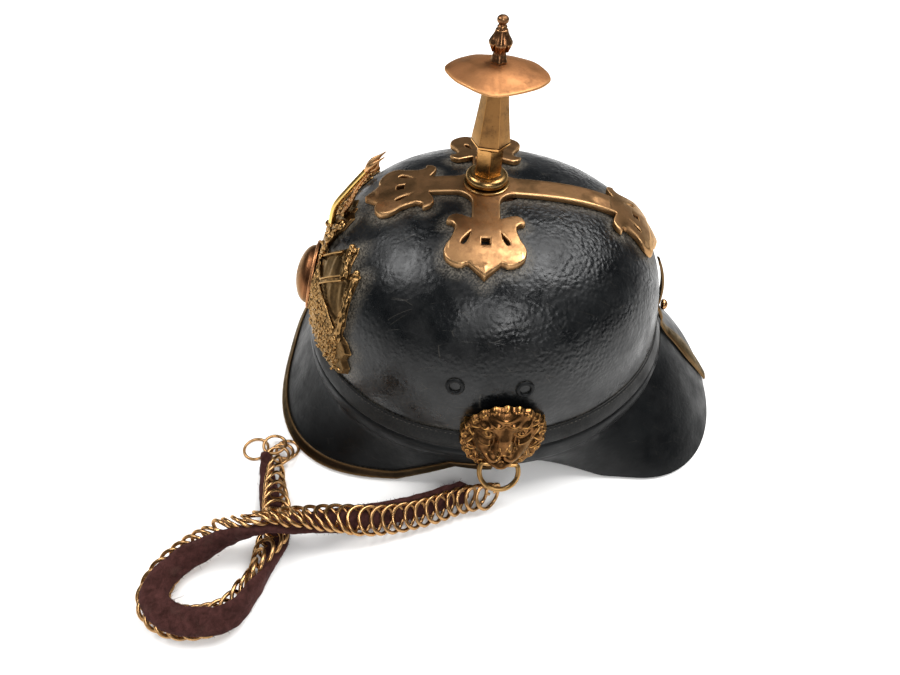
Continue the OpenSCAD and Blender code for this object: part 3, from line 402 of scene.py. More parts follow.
class Maker:
    """Builds meshes in millimetres and puts them in the scene."""

    @staticmethod
    def mesh(name: str, points: Sequence | np.ndarray, faces: Sequence, finish: bpy.types.Material,
             sharp: float = 38.0) -> bpy.types.Object:
        """Makes one object.

        Args:
            name: the piece's name.
            points: places in millimetres.
            faces: point numbers of each face.
            finish: the material.
            sharp: edges bent more than this many degrees stay crisp.

        Returns:
            The new object.
        """
        data = bpy.data.meshes.new(name)
        data.from_pydata([tuple(float(c) * MM for c in p) for p in points], [],
                         [list(map(int, f)) for f in faces])
        return Maker.finish(name, data, finish, sharp)

    @staticmethod
    def finish(name: str, data: bpy.types.Mesh, finish: bpy.types.Material,
               sharp: float) -> bpy.types.Object:
        """Cleans a mesh, turns it outward, smooths it and links its object.

        Args:
            name: the piece's name.
            data: its mesh, in metres.
            finish: the material.
            sharp: crisp-edge angle.

        Returns:
            The new object.
        """
        bm = bmesh.new()
        bm.from_mesh(data)
        bmesh.ops.remove_doubles(bm, verts=bm.verts, dist=2e-6)
        bmesh.ops.dissolve_degenerate(bm, dist=1e-7, edges=bm.edges)
        bmesh.ops.recalc_face_normals(bm, faces=bm.faces)
        bm.to_mesh(data)
        bm.free()
        data.materials.clear()
        data.materials.append(finish)
        data.polygons.foreach_set("use_smooth", [True] * len(data.polygons))
        data.set_sharp_from_angle(angle=math.radians(sharp))
        made = bpy.data.objects.new(name, data)
        bpy.context.scene.collection.objects.link(made)
        LOG.info("%s: %d points", name, len(data.vertices))
        return made

    @staticmethod
    def skin(rows: np.ndarray, closed: bool = False, ring: bool = True, capped: bool = True) -> Mesh:
        """Joins rows of points into faces.

        Args:
            rows: array (rows, points, 3).
            closed: the last row joins the first.
            ring: each row is a closed loop.
            capped: open ends are closed by one face.

        Returns:
            Points and faces.
        """
        rows = np.asarray(rows, float)
        n, m = rows.shape[:2]
        faces = []
        for i in range(n if closed else n - 1):
            for j in range(m if ring else m - 1):
                k, l = (i + 1) % n, (j + 1) % m
                faces.append((i * m + j, i * m + l, k * m + l, k * m + j))
        if capped and ring and not closed:
            faces.append(tuple(range(m)))
            faces.append(tuple((n - 1) * m + j for j in reversed(range(m))))
        return rows.reshape(-1, 3), faces

    @staticmethod
    def lathe(profile: Sequence[tuple[float, float]], centre: tuple[float, float, float],
              steps: int = 96) -> Mesh:
        """Turns a closed profile about a vertical axis.

        Args:
            profile: pairs of radius and height.
            centre: a place on the axis.
            steps: steps in one turn.

        Returns:
            Points and faces.
        """
        rows = []
        for i in range(steps):
            a = 2 * math.pi * i / steps
            x, y = math.cos(a), math.sin(a)
            rows.append([(centre[0] + r * x, centre[1] + r * y, centre[2] + h) for r, h in profile])
        return Maker.skin(np.array(rows), closed=True)

    @staticmethod
    def smooth(points: Sequence[Sequence[float]], steps: int) -> np.ndarray:
        """Cubic curve through points.

        Args:
            points: places that the curve passes.
            steps: places on each span.

        Returns:
            The curve's places.
        """
        p = np.asarray(points, float)
        out = []
        for i in range(len(p) - 1):
            a, b, c, d = p[max(0, i - 1)], p[i], p[i + 1], p[min(len(p) - 1, i + 2)]
            for k in np.arange(steps) / steps:
                square, cube = (2 * a - 5 * b + 4 * c - d) * k**2, (3 * b - a - 3 * c + d) * k**3
                out.append(0.5 * (2 * b + (c - a) * k + square + cube))
        out.append(p[-1])
        return np.array(out)

    @staticmethod
    def tube(path: np.ndarray, radius: Value, sides: int = 10, closed: bool = False) -> Mesh:
        """Round tube along a path.

        Args:
            path: places on its middle line.
            radius: one radius, or one a place.
            sides: sides of its section.
            closed: the path is a loop.

        Returns:
            Points and faces.
        """
        path = np.asarray(path, float)
        n = len(path)
        rad = np.broadcast_to(np.asarray(radius, float), (n,))
        if closed:
            along = np.roll(path, -1, 0) - np.roll(path, 1, 0)
        else:
            along = np.gradient(path, axis=0)
        along /= np.linalg.norm(along, axis=1)[:, None]
        up = np.cross(along[0], (0.31, 0.17, 0.93))
        if np.linalg.norm(up) < 0.1:
            up = np.cross(along[0], (1.0, 0, 0))
        ups = []
        for d in along:
            up = up - d * np.dot(up, d)
            up = up / np.linalg.norm(up)
            ups.append(up.copy())
        ups = np.array(ups)
        if closed:  # spread the frame's closing turn over the loop
            first, last, d = ups[0], ups[-1] - along[0] * np.dot(ups[-1], along[0]), along[0]
            last /= np.linalg.norm(last)
            turn = math.atan2(np.dot(np.cross(last, first), d), np.dot(last, first))
            for i in range(n):
                a = turn * i / n
                ups[i] = ups[i] * math.cos(a) + np.cross(along[i], ups[i]) * math.sin(a)
        side = np.cross(along, ups)
        a = 2 * np.pi * np.arange(sides) / sides
        out = ups[:, None] * np.cos(a)[None, :, None] + side[:, None] * np.sin(a)[None, :, None]
        rows = path[:, None] + rad[:, None, None] * out
        return Maker.skin(rows, closed=closed)

    @staticmethod
    def join(parts: Sequence[Mesh]) -> Mesh:
        """Puts several (points, faces) sets together."""
        points, faces, start = [], [], 0
        for p, f in parts:
            p = np.asarray(p, float)
            points.append(p)
            faces += [tuple(i + start for i in one) for one in f]
            start += len(p)
        return np.concatenate(points), faces

    @staticmethod
    def stamped(name: str, loops: Sequence, place: Callable, thick: float, round_r: float, pitch: float,
                finish: bpy.types.Material, relief: Callable | None = None,
                sharp: float = 50.0) -> bpy.types.Object:
        """A plate cut to outlines, its rims rounded, then laid over a curved surface.

        Args:
            name: the piece's name.
            loops: outlines in the plate's own plane; inner ones are holes.
            place: maps arrays (a, b, height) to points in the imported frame.
            thick: thickness.
            round_r: radius of the rounded rims.
            pitch: largest spacing of the mesh.
            finish: the material.
            relief: extra height of the front at arrays (a, b).
            sharp: crisp-edge angle.

        Returns:
            The new object.
        """
        cut = bpy.data.curves.new(name, "CURVE")
        cut.dimensions = "2D"
        cut.fill_mode = "BOTH"
        cut.extrude = thick / 2 - round_r
        cut.bevel_depth = round_r
        cut.bevel_resolution = 2
        cut.offset = -round_r
        for loop in loops:
            line = cut.splines.new("POLY")
            line.points.add(len(loop) - 1)
            for point, (a, b) in zip(line.points, loop):
                point.co = (a, b, 0, 1)
            line.use_cyclic_u = True
        source = bpy.data.objects.new(name, cut)
        bpy.context.scene.collection.objects.link(source)
        bpy.context.view_layer.update()
        data = bpy.data.meshes.new_from_object(source.evaluated_get(bpy.context.evaluated_depsgraph_get()))
        bpy.data.objects.remove(source)
        bm = bmesh.new()
        bm.from_mesh(data)
        bmesh.ops.remove_doubles(bm, verts=bm.verts, dist=1e-4)
        spans = [(min(v.co[k] for v in bm.verts), max(v.co[k] for v in bm.verts)) for k in (0, 1)]
        for k, (low, high) in enumerate(spans):
            for c in np.arange(low + pitch / 2, high, pitch):
                spot = [0.0, 0.0, 0.0]
                spot[k] = float(c)
                way = [0.0, 0.0, 0.0]
                way[k] = 1.0
                bmesh.ops.bisect_plane(bm, geom=bm.verts[:] + bm.edges[:] + bm.faces[:], dist=1e-5,
                                       plane_co=spot, plane_no=way)
        bmesh.ops.triangulate(bm, faces=[f for f in bm.faces if len(f.verts) > 4])
        co = np.array([v.co for v in bm.verts], float)
        high = co[:, 2] + thick / 2
        if relief is not None:
            high = high + relief(co[:, 0], co[:, 1]) * np.clip(high / thick, 0, 1)
        moved = np.asarray(place(co[:, 0], co[:, 1], high), float) * MM
        for v, p in zip(bm.verts, moved):
            v.co = p
        bm.to_mesh(data)
        bm.free()
        return Maker.finish(name, data, finish, sharp)


def unit(v: Sequence[float] | np.ndarray) -> np.ndarray:
    """A vector of length 1 the same way."""
    v = np.asarray(v, float)
    return v / np.linalg.norm(v)


def together(*values: Value) -> list[np.ndarray]:
    """Numbers and arrays spread to one common shape."""
    return np.broadcast_arrays(*(np.asarray(v, float) for v in values))


def bell(a: Value, b: Value, sa: float, sb: float) -> Value:
    """Smooth bump of width sa by sb at the origin of (a, b)."""
    return np.exp(-((a / sa) ** 2) - (b / sb) ** 2)


# ---------------------------------------------------------------- shapes shared by several pieces


@dataclass(frozen=True)
class SkullShape:
    """The dome's surface: t is the plan angle from the brow in degrees, u the angle up the dome."""

    half_w: float = 104.5
    brow_reach: float = 110.0
    nape_reach: float = 113.5
    rise: float = 105.0
    wall_top: float = 43.5
    power: float = 2.88
    lean: float = 0.046
    nape_flare: float = 5.0
    brow_tuck: float = 2.5
    flare_top: float = 90.0
    y: float = -18.0
    brow_power: float = 2.26
    nape_power: float = 2.0
    thick: float = 3.2
    seam_side: float = 52.4
    seam_rise: float = 12.2
    band_h: float = 10.5
    bead_h: float = 14.5
    bead_proud: float = 5.2

    def _reach(self, front: bool | np.ndarray, z: Value) -> np.ndarray:
        """Half length of the wall toward the brow or the nape at height z."""
        low = np.clip((self.flare_top - z) / (self.flare_top - self.wall_top), 0, None) ** 2
        low = np.minimum(low, 1)
        return np.where(front, self.brow_reach - self.brow_tuck * low,
                        self.nape_reach + self.nape_flare * low)

    def _bend(self, c: Value, n: Value) -> np.ndarray:
        """Superellipse's share along one axis for a cosine or sine."""
        return np.sign(c) * np.abs(c) ** (2 / n)

    def scale(self, z: Value) -> np.ndarray:
        """Share of the wall's plan left at height z."""
        k = np.clip((np.asarray(z, float) - self.wall_top) / self.rise, 0, 1)
        return (1 - k**self.power) ** (1 / self.power)

    def wall(self, t: Value, z: Value, grow: Value = 0.0) -> np.ndarray:
        """Points on the wall, grown outward.

        Args:
            t: plan angle from the brow, in degrees.
            z: height.
            grow: how far out of the surface, in millimetres.

        Returns:
            Places, one a row.
        """
        t, z, grow = together(np.radians(t), z, grow)
        k = self.scale(z)
        n = np.where(np.cos(t) > 0, self.brow_power, self.nape_power)
        lean = self.lean * np.clip(z - self.wall_top, 0, None)
        x = (self.half_w * k + grow) * self._bend(np.sin(t), n)
        y = self.y + lean - (self._reach(np.cos(t) > 0, z) * k + grow) * self._bend(np.cos(t), n)
        return np.stack([x, y, z], -1)

    def dome(self, t: Value, u: Value, grow: Value = 0.0) -> np.ndarray:
        """Points on the dome, grown outward and upward.

        Args:
            t: plan angle from the brow, in degrees.
            u: angle up the dome, in degrees.
            grow: how far out of the surface, in millimetres.

        Returns:
            Places, one a row.
        """
        t, u, grow = together(np.radians(t), np.radians(u), grow)
        k = np.clip(np.cos(u), 0, 1) ** (2 / self.power)
        z = self.wall_top + (self.rise + grow) * np.sin(u) ** (2 / self.power)
        n = np.where(np.cos(t) > 0, self.brow_power, self.nape_power)
        lean = self.lean * np.clip(z - self.wall_top, 0, None)
        x = (self.half_w + grow) * k * self._bend(np.sin(t), n)
        y = self.y + lean - (self._reach(np.cos(t) > 0, z) + grow) * k * self._bend(np.cos(t), n)
        return np.stack([x, y, z], -1)

    def top(self, x: Value, y: Value, grow: Value = 0.0) -> np.ndarray:
        """Height of the dome over places in plan.

        Args:
            x: place to the side.
            y: place along the helmet.
            grow: how far out of the surface, in millimetres.

        Returns:
            Heights.
        """
        x, y, grow = together(x, y, grow)
        z = np.full(x.shape, 130.0)
        for _ in range(6):
            b = y - self.y - self.lean * np.clip(z - self.wall_top, 0, None)
            n = np.where(b < 0, self.brow_power, self.nape_power)
            k = (np.abs(x / (self.half_w + grow)) ** n
                 + np.abs(b / (self._reach(b < 0, z) + grow)) ** n) ** (1 / n)
            z = self.wall_top + (self.rise + grow) * np.clip(1 - k**self.power, 1e-6, 1) ** (1 / self.power)
        return z

    def side_x(self, y: Value, z: Value) -> np.ndarray:
        """Half width of the wall at places y, z."""
        y, z = together(y, z)
        k = self.scale(z)
        b = y - self.y - self.lean * np.clip(z - self.wall_top, 0, None)
        n = np.where(b < 0, self.brow_power, self.nape_power)
        return self.half_w * k * np.clip(1 - np.abs(b / (self._reach(b < 0, z) * k)) ** n, 0, 1) ** (1 / n)

    def brow_y(self, x: Value, z: Value, grow: Value = 0.0) -> np.ndarray:
        """Place along Y of the grown brow at x, z."""
        x, z, grow = together(x, z, grow)
        k = self.scale(z)
        lean = self.lean * np.clip(z - self.wall_top, 0, None)
        inner = np.clip(1 - np.abs(x / (self.half_w * k + grow)) ** self.brow_power, 0, 1)
        return self.y + lean - (self._reach(True, z) * k + grow) * inner ** (1 / self.brow_power)

    def seam(self, t: Value) -> Value:
        """Height of the seam."""
        return self.seam_side + self.seam_rise * np.cos(np.radians(t)) ** 2

    def _nape(self, t: Value) -> np.ndarray:
        """1 at the middle of the nape, falling to 0 at the sides."""
        c = np.cos(np.radians(t))
        return np.where(c < 0, c**4, 0.0)

    def groove(self, t: Value) -> Value:
        """Height of the groove under the band."""
        return self.seam(t) - self.band_h + 2.5 * self._nape(t)

    def crease(self, t: Value) -> Value:
        """Height of the crease under the bead."""
        c = np.cos(np.radians(t))
        before, behind = self.bead_h * (0.55 + 0.45 * np.clip(c, 0, 1)), self.bead_h - 8.5 * self._nape(t)
        return self.groove(t) - np.where(c > 0, before, behind)


SKULL = SkullShape()


@dataclass(frozen=True)
class VisorShape:
    """The flare of one visor: s runs from the middle line to the ear, r from crease to free edge."""

    rear: bool
    half_w: float
    reach: float
    wide_y: float
    power: float
    edge_z: float
    lion_y: float = -4.4
    ear_gap: float = 4.0
    ear_z: float = 23.0
    ear_out: float = 3.6
    corner_s: float = 0.55
    thick: float = 2.8
    root: float = 4.5

    @property
    def end_y(self) -> float:
        """Place along Y where the visor ends at the lion boss."""
        return self.lion_y + (self.ear_gap if self.rear else -self.ear_gap)

    def edge(self, s: float) -> np.ndarray:
        """The free edge.

        Args:
            s: station, 0 at the middle line to 1 at the ear.

        Returns:
            A place.
        """
        if s <= self.corner_s:
            a = math.radians(90 * s / self.corner_s)
            way = 1 if self.rear else -1
            x = self.half_w * max(0, math.sin(a)) ** (2 / self.power)
            y = self.wide_y + way * self.reach * max(0, math.cos(a)) ** (2 / self.power)
            return np.array([x, y, self.edge_z])
        y = self.wide_y + (self.end_y - self.wide_y) * (s - self.corner_s) / (1 - self.corner_s)
        ear_x = float(SKULL.side_x(y, SKULL.wall_top)) + self.ear_out
        if self.rear:
            w, lift = min(1, max(0, (66 - y) / 66)) ** 1.4, min(1, max(0, (66 - y) / 48)) ** 1.35
        else:
            w, lift = min(1, max(0, (y - self.wide_y) / 50)), min(1, max(0, (y - self.wide_y) / 36)) ** 1.3
        x, z = self.half_w + (ear_x - self.half_w) * w, self.edge_z + (self.ear_z - self.edge_z) * lift
        return np.array([x, y, z])

    def angle(self, s: float) -> float:
        """Plan angle at which a station meets the skull.

        Args:
            s: station.

        Returns:
            The angle in degrees.
        """
        b = SKULL.y - self.end_y
        n = SKULL.brow_power if b > 0 else SKULL.nape_power
        c = b / (SKULL.brow_reach if b > 0 else SKULL.nape_reach)
        end = math.degrees(math.acos(math.copysign(abs(c) ** (n / 2), c)))
        turn = 134.0 if self.rear else 62.0
        start = 180.0 if self.rear else 0.0
        if s <= self.corner_s:
            return start + (turn - start) * s / self.corner_s
        return turn + (end - turn) * (s - self.corner_s) / (1 - self.corner_s)

    def mid(self, s: float, r: float) -> np.ndarray:
        """The flare's outer surface."""
        t = self.angle(s)
        a = SKULL.wall(t, float(SKULL.crease(t)) - 0.8, self.root)
        b = self.edge(s)
        out, down = (0.55, 0.42) if self.rear else (0.45, 0.55)
        c = np.array([a[0] + (b[0] - a[0]) * out, a[1] + (b[1] - a[1]) * out, a[2] + (b[2] - a[2]) * down])
        return a * (1 - r) ** 2 + c * 2 * r * (1 - r) + b * r * r

    def normal(self, s: float, r: float) -> np.ndarray:
        """Outward direction of the flare."""
        e = 0.01
        s0, s1, r0, r1 = max(0, s - e), min(1, s + e), max(0, r - e), min(1, r + e)
        n = np.cross(self.mid(s, r1) - self.mid(s, r0), self.mid(s1, r) - self.mid(s0, r))
        if s == 0:
            n[0] = 0
        return unit(n) * (-1 if self.rear else 1)

    def at(self, s: float, r: float, off: float) -> np.ndarray:
        """A point off the flare's outer surface."""
        return self.mid(s, r) + self.normal(s, r) * off

    def length(self, s: float) -> float:
        """Distance from crease to edge."""
        return float(np.linalg.norm(self.mid(s, 1) - self.mid(s, 0.5))
                     + np.linalg.norm(self.mid(s, 0.5) - self.mid(s, 0)))

    @staticmethod
    def both(rows: list) -> np.ndarray:
        """Adds the mirrored half to rows that start at the middle line."""
        rows = [np.asarray(r, float) for r in rows]
        return np.array([r * (-1, 1, 1) for r in rows[:0:-1]] + rows)


FRONT = VisorShape(False, 104.8, 84.0, -66.5, 2.83, 2.7)
REAR = VisorShape(True, 94.5, 62.8, 86.5, 2.19, 1.8)
LION_Y, LION_Z = -4.4, 55.0
SPIKE_Y = -22.3


# ---------------------------------------------------------------- sub-assemblies


def once(finish: LacqueredLeather | AgedBrass | TannedLeather | Velvet | Thread
         | TableTop) -> bpy.types.Material:
    """A field that is filled with the finish's material when the finishes are made."""
    return field(default_factory=finish.build)


@dataclass
class Finishes:
    """Every material of the helmet, built once."""

    skull: bpy.types.Material = once(LacqueredLeather("skull_leather"))
    visor: bpy.types.Material = once(LacqueredLeather(
        "visor_leather", "#040506", "#080a0b", pebble=0.035, gloss=0.34, dull=0.56,
        shine=0.18, scratches=0.06))
    cross: bpy.types.Material = once(AgedBrass(
        "cross_red_brass", "#dcb07c", "#9c7650", "#664a34", 0.42, 0.3, dents=0.08, edge=0.05, hollow=1.5))
    disc: bpy.types.Material = once(AgedBrass(
        "disc_red_brass", "#cf9a66", "#a8754c", "#80593c", 0.42, 0.42, (1, 6, 1), 0.02, 0.03))
    turned: bpy.types.Material = once(AgedBrass(
        "turned_brass", "#dcb67c", "#8d6a3c", "#4c3820", 0.34, 0.17, (1, 1, 0.15), 0.014, 0.02))
    mirror: bpy.types.Material = once(AgedBrass(
        "faceted_brass", "#cf9a5c", "#6a4a2a", "#33241a", 0.42, 0.1, (1, 1, 0.2), 0.006, 0.03))
    shield: bpy.types.Material = once(AgedBrass(
        "shield_red_brass", "#b07a52", "#6b452c", "#38241a", 0.44, 0.28, (1, 6, 1), 0.02, 0.03))
    dark: bpy.types.Material = once(AgedBrass(
        "finial_bronze", "#c89a6a", "#80593c", "#3a281c", 0.45, 0.24, dents=0.03))
    plate: bpy.types.Material = once(AgedBrass(
        "stamped_brass", "#b48d5a", "#60482c", "#261b11", 0.5, 0.2, edge=0.09, hollow=2.8, dents=0.03))
    crest: bpy.types.Material = once(AgedBrass(
        "polished_bar_brass", "#ecc878", "#a67f42", "#4c3a20", 0.28, 0.16, dents=0.02))
    # the lion's bright colour doubles as a painted highlight on its raised parts, and its long hollow reach
    # adds painted shade in its recesses
    lion: bpy.types.Material = once(AgedBrass(
        "cast_lion_brass", "#e6ac62", "#74502f", "#22170e", 0.45, 0.17, edge=0.07, hollow=4.5, dents=0.02))
    rim: bpy.types.Material = once(AgedBrass(
        "rim_brass", "#6e563a", "#382b1e", "#1c1611", 0.6, 0.36, (1, 6, 1), 0.02))
    ring: bpy.types.Material = once(AgedBrass(
        "ring_bronze", "#b8905a", "#6b5032", "#36281a", 0.45, 0.24, dents=0.01))
    chain: bpy.types.Material = once(AgedBrass(
        "chain_brass", "#b88f60", "#705234", "#2c2015", 0.42, 0.2, hollow=3.0, dents=0.01))
    lining: bpy.types.Material = once(TannedLeather("lining_leather"))
    velvet: bpy.types.Material = once(Velvet("maroon_velvet"))
    thread: bpy.types.Material = once(Thread("seam_thread"))
    table: bpy.types.Material = once(TableTop("table_white"))


class Assembly:
    """Something that adds pieces, each riding on a body of the frame."""

    body = "helmet"

    def __init__(self, finishes: Finishes) -> None:
        """Keeps the finishes at hand."""
        self.f = finishes

    def keep(self, made: bpy.types.Object, slot: str, *nodes: str,
             body: str | None = None) -> bpy.types.Object:
        """Ties a piece to its body and hides the CAD nodes it stands for."""
        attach(made, body or self.body)
        if nodes:
            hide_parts(*nodes)
        return made

    def add(self, name: str, shape: Mesh, finish: bpy.types.Material, sharp: float, slot: str,
            *nodes: str, body: str | None = None) -> bpy.types.Object:
        """Makes a piece and ties it.

        Args:
            name: the piece's name.
            shape: its points and faces.
            finish: the material.
            sharp: crisp-edge angle.
            slot: name of its material slot; not used.
            nodes: CAD nodes that it stands for.
            body: body that it rides on, unless it is the assembly's own.

        Returns:
            The new object.
        """
        return self.keep(Maker.mesh(name, *shape, finish, sharp), slot, *nodes, body=body)


def cross_outline() -> tuple[list, list]:
    """Outline of the cross in plan about the spike, and its holes.

    Returns:
        The outline and the list of holes.
    """
    half = [
            (19, 8), (29, 8), (30.6, 8.6), (28.6, 13), (27.6, 17), (29.4, 20.4), (33.4, 21.8), (34.6, 18.6),
            (38, 17), (45, 18.8), (50, 21.6), (54, 22.4), (58, 21), (61, 17), (62, 12.6), (61, 9.4),
            (62.4, 7.4), (69, 0)]
    tear = [(42, 8.6), (46, 9.4), (49.6, 11.4), (49.4, 13), (47.4, 12.8), (44.6, 10.8)]
    arms = ((0, 70.0, 1.0), (90, 109.0, 0.84), (180, 70.0, 1.0), (270, 71.0, 1.0))
    outline, holes = [], []
    for turn, reach, squeeze in arms:
        c, s = math.cos(math.radians(turn)), math.sin(math.radians(turn))

        def spin(p: Sequence[float]) -> tuple[float, float]:
            """A place on this arm, its outer part moved out to the arm's reach."""
            u = p[0] if p[0] < 20 else reach - (69 - p[0]) * squeeze
            return (u * c - p[1] * s, u * s + p[1] * c)

        fine = [tuple(p) for p in Maker.smooth(half, 6)]
        corner = [(8 + 11 - 11 * math.sin(a), 8 + 11 - 11 * math.cos(a))
                  for a in np.radians(np.arange(45, -1, -9))]
        lower = corner + [p for p in fine if p[0] > 19.5]
        outline += [spin((p[0], -p[1])) for p in lower[:-1]] + [spin(p) for p in reversed(lower)][:-1]
        for m in (-1, 1):
            holes.append([spin((p[0], m * p[1])) for p in Maker.smooth(tear + tear[:1], 5)[:-1]])
        holes.append([spin(p) for p in ((45.8, -2.1), (50.2, -2.1), (50.2, 2.1), (45.8, 2.1))])
    return outline, holes


@dataclass(frozen=True)
class PlateShape:
    """Half outline of the front plate as places (x, z), from its lowest point round to the crown part."""

    half: tuple = (
        (0, 68), (10, 67.6), (20, 67), (30, 66.3), (40, 65.2), (48, 64.4), (57, 63.4),
        (64, 63.2), (70, 63.2), (76, 64.4), (78.4, 67), (79, 72), (76.6, 77), (78, 83),
        (74.6, 88), (69.6, 90.6), (69, 96), (65.6, 103.6), (61.8, 111), (58.8, 116.4), (55.2, 121.6),
        (52.6, 122.6), (49.4, 118.8), (45, 122), (40.4, 126.6), (36.8, 128.2), (34.2, 125.6), (27, 115.4),
        (19, 106.6), (14, 109), (13.4, 117), (14, 123), (10, 128.6), (3, 128), (0, 129.4))
    under: float = 0.6
    thick: float = 1.6
    panels: tuple = (((17.4, 103.9), (35.5, 102.2), (48.6, 117.2), (34.4, 123.2)),
                     ((36.8, 99.8), (54, 98.2), (66.8, 92.4), (63.4, 106), (54.6, 117.2), (51.6, 116.2)))

    def loop(self) -> list:
        """The whole outline."""
        fine = [(float(a), float(b)) for a, b in self.half]
        return fine + [(-a, b) for a, b in fine[-2:0:-1]]


PLATE = PlateShape()


class Shell(Assembly):
    """Leather skull, band, visors, stitching and vents."""

    def skull(self) -> None:
        """The blocked dome, with worn lacquer stored along the brass edges."""
        ts = np.arange(0, 360, 0.8)
        hem = SKULL.groove(ts) - 10
        rows = []
        for k in (0, 0.25, 0.5, 0.75, 1.0):
            rows.append(SKULL.wall(ts, hem + (SKULL.wall_top - hem) * k))
        us = list(np.arange(2, 80, 1.0)) + [80.5, 82, 83.5, 85, 86.4, 87.6]
        rows += [SKULL.dome(ts, u) for u in us]
        rows += [SKULL.dome(ts, u, -SKULL.thick) for u in reversed(us[::4])]
        rows += [SKULL.wall(ts, SKULL.wall_top, -SKULL.thick), SKULL.wall(ts, hem, -SKULL.thick)]
        points, faces = Maker.skin(np.array(rows), closed=True)
        made = Maker.mesh("skull_leather", points, faces, self.f.skull, 60)
        co = np.array([v.co for v in made.data.vertices]) / MM
        outline = np.array(cross_outline()[0]) + (0, SPIKE_Y)
        gap = np.full(len(co), 99.0)
        for a, b in zip(outline, np.roll(outline, -1, 0)):
            gap = np.minimum(gap, self._to_line(co[:, :2], a, b) + np.where(co[:, 2] < 95, 99, 0))
        plate = np.array(PLATE.loop())
        face = np.where(co[:, 1] < -40, 0, 99)
        for a, b in zip(plate, np.roll(plate, -1, 0)):
            gap = np.minimum(gap, self._to_line(co[:, [0, 2]], a, b) * 1.1 + face)
        wear = np.clip(1.05 - gap / 6.5, 0, 1) ** 1.3
        angle = np.degrees(np.arctan2(co[:, 0], -(co[:, 1] - SKULL.y)))
        near_seam = np.clip(1 - np.abs(co[:, 2] - SKULL.seam(angle) - 0.6) / 1.6, 0, 1) * 0.35
        self._store(made, "wear", np.maximum(wear, near_seam))
        rearward = np.clip((co[:, 1] + 75) / 110, 0, 1) * np.clip((co[:, 2] - 62) / 35, 0, 1)
        self._store(made, "pebble", 0.12 + 0.88 * rearward)
        self.keep(made, "leather_black", "skull")

    @staticmethod
    def _to_line(p: np.ndarray, a: np.ndarray, b: np.ndarray) -> np.ndarray:
        """Distance of points p from the line between a and b."""
        d = b - a
        k = np.clip(((p - a) @ d) / max(1e-9, d @ d), 0, 1)
        return np.linalg.norm(p - a - k[:, None] * d, axis=1)

    @staticmethod
    def _store(made: bpy.types.Object, name: str, values: np.ndarray) -> None:
        """Stores a value for each of a piece's points."""
        stored = made.data.attributes.new(name, "FLOAT", "POINT")
        stored.data.foreach_set("value", values.astype(np.float32))

    def band(self) -> None:
        """The strip stitched round the skull over the visors' upper edges."""
        ts = np.arange(0, 360, 1.0)
        s, g = SKULL.seam(ts), SKULL.groove(ts)
        wave = np.array([noise.noise(Vector((math.cos(a) * 5, math.sin(a) * 5, 0)))
                         for a in np.radians(ts)])
        spots = [(s, 0.1), (s + 0.1, 0.7), (s - 0.1, 1.15), (s - 0.7, 1.42),
                 (s * 0.8 + g * 0.2, 1.9 + wave * 0.2), (s * 0.5 + g * 0.5, 3.1 + wave * 0.4),
                 (s * 0.25 + g * 0.75, 3.85 + wave * 0.2), (g + 0.9, 4.2), (g + 0.35, 4.2), (g + 0.05, 3.9),
                 (g, 3.3), (g + 0.3, 2.7),
                 (s * 0.5 + g * 0.5, 1.75), (s - 2.8, 1.1), (s - 0.6, 0.1)]
        rows = np.array([SKULL.wall(ts, z, o) for z, o in spots]).transpose(1, 0, 2)
        made = Maker.mesh("skull_band_leather", *Maker.skin(rows, closed=True), self.f.visor, 48)
        self._store(made, "pebble", np.full(len(made.data.vertices), 0.6))
        self._store(made, "wear", np.full(len(made.data.vertices), 0.06))
        self.keep(made, "leather_black", "skull_band")

    def visor(self, shape: VisorShape, name: str) -> None:
        """One visor: bead, flare and rounded edge.

        Args:
            shape: front or rear flare.
            name: the piece's name.
        """
        rows = []
        for s in np.linspace(0, 1, 96):
            t = shape.angle(s)
            seam, g, c = (float(f(t)) for f in (SKULL.seam, SKULL.groove, SKULL.crease))
            top = seam - 3
            wob = 0.35 * noise.noise(Vector((s * 7, 2.0 if shape.rear else 9.0, 0)))
            p = SKULL.bead_proud
            bead = [(g - 0.4, 2.8), (g - 0.9, 3.7), (g - 1.8, 4.5), (g - 3.0, p - 0.3),
                    (g * 0.6 + c * 0.4, p + wob), (g * 0.35 + c * 0.65, p + wob),
                    (c + 2.2, p - 0.15), (c + 1.1, p - 0.45), (c + 0.3, p - 0.85),
                    (c - 0.1, shape.root - 0.25)]
            row = [SKULL.wall(t, z, o) for z, o in [(top, 1.0), (g + 0.4, 2.5)] + bead]
            rs = np.linspace(0.06, 1, 15)
            row += [shape.at(s, r, 0) for r in rs[:-1]]
            tip = unit(shape.mid(s, 1) - shape.mid(s, 0.95))
            row += [shape.at(s, 1, -0.25), shape.at(s, 1, -0.9) + tip * 0.35,
                    shape.at(s, 1, -shape.thick / 2) + tip * 0.45,
                    shape.at(s, 1, -shape.thick + 0.8) + tip * 0.3, shape.at(s, 1, -shape.thick + 0.2)]
            row += [shape.at(s, r, -shape.thick) for r in rs[-2::-2]]
            row += [SKULL.wall(t, z, 0.3) for z in (c, c + 0.9, g * 0.45 + c * 0.55, g - 0.4, g + 0.4, top)]
            rows.append(row)
        made = Maker.mesh(name + "_leather", *Maker.skin(VisorShape.both(rows)), self.f.visor, 42)
        self._store(made, "pebble", np.full(len(made.data.vertices), 0.5))
        self._store(made, "wear", np.zeros(len(made.data.vertices)))
        self.keep(made, "leather_black", name)

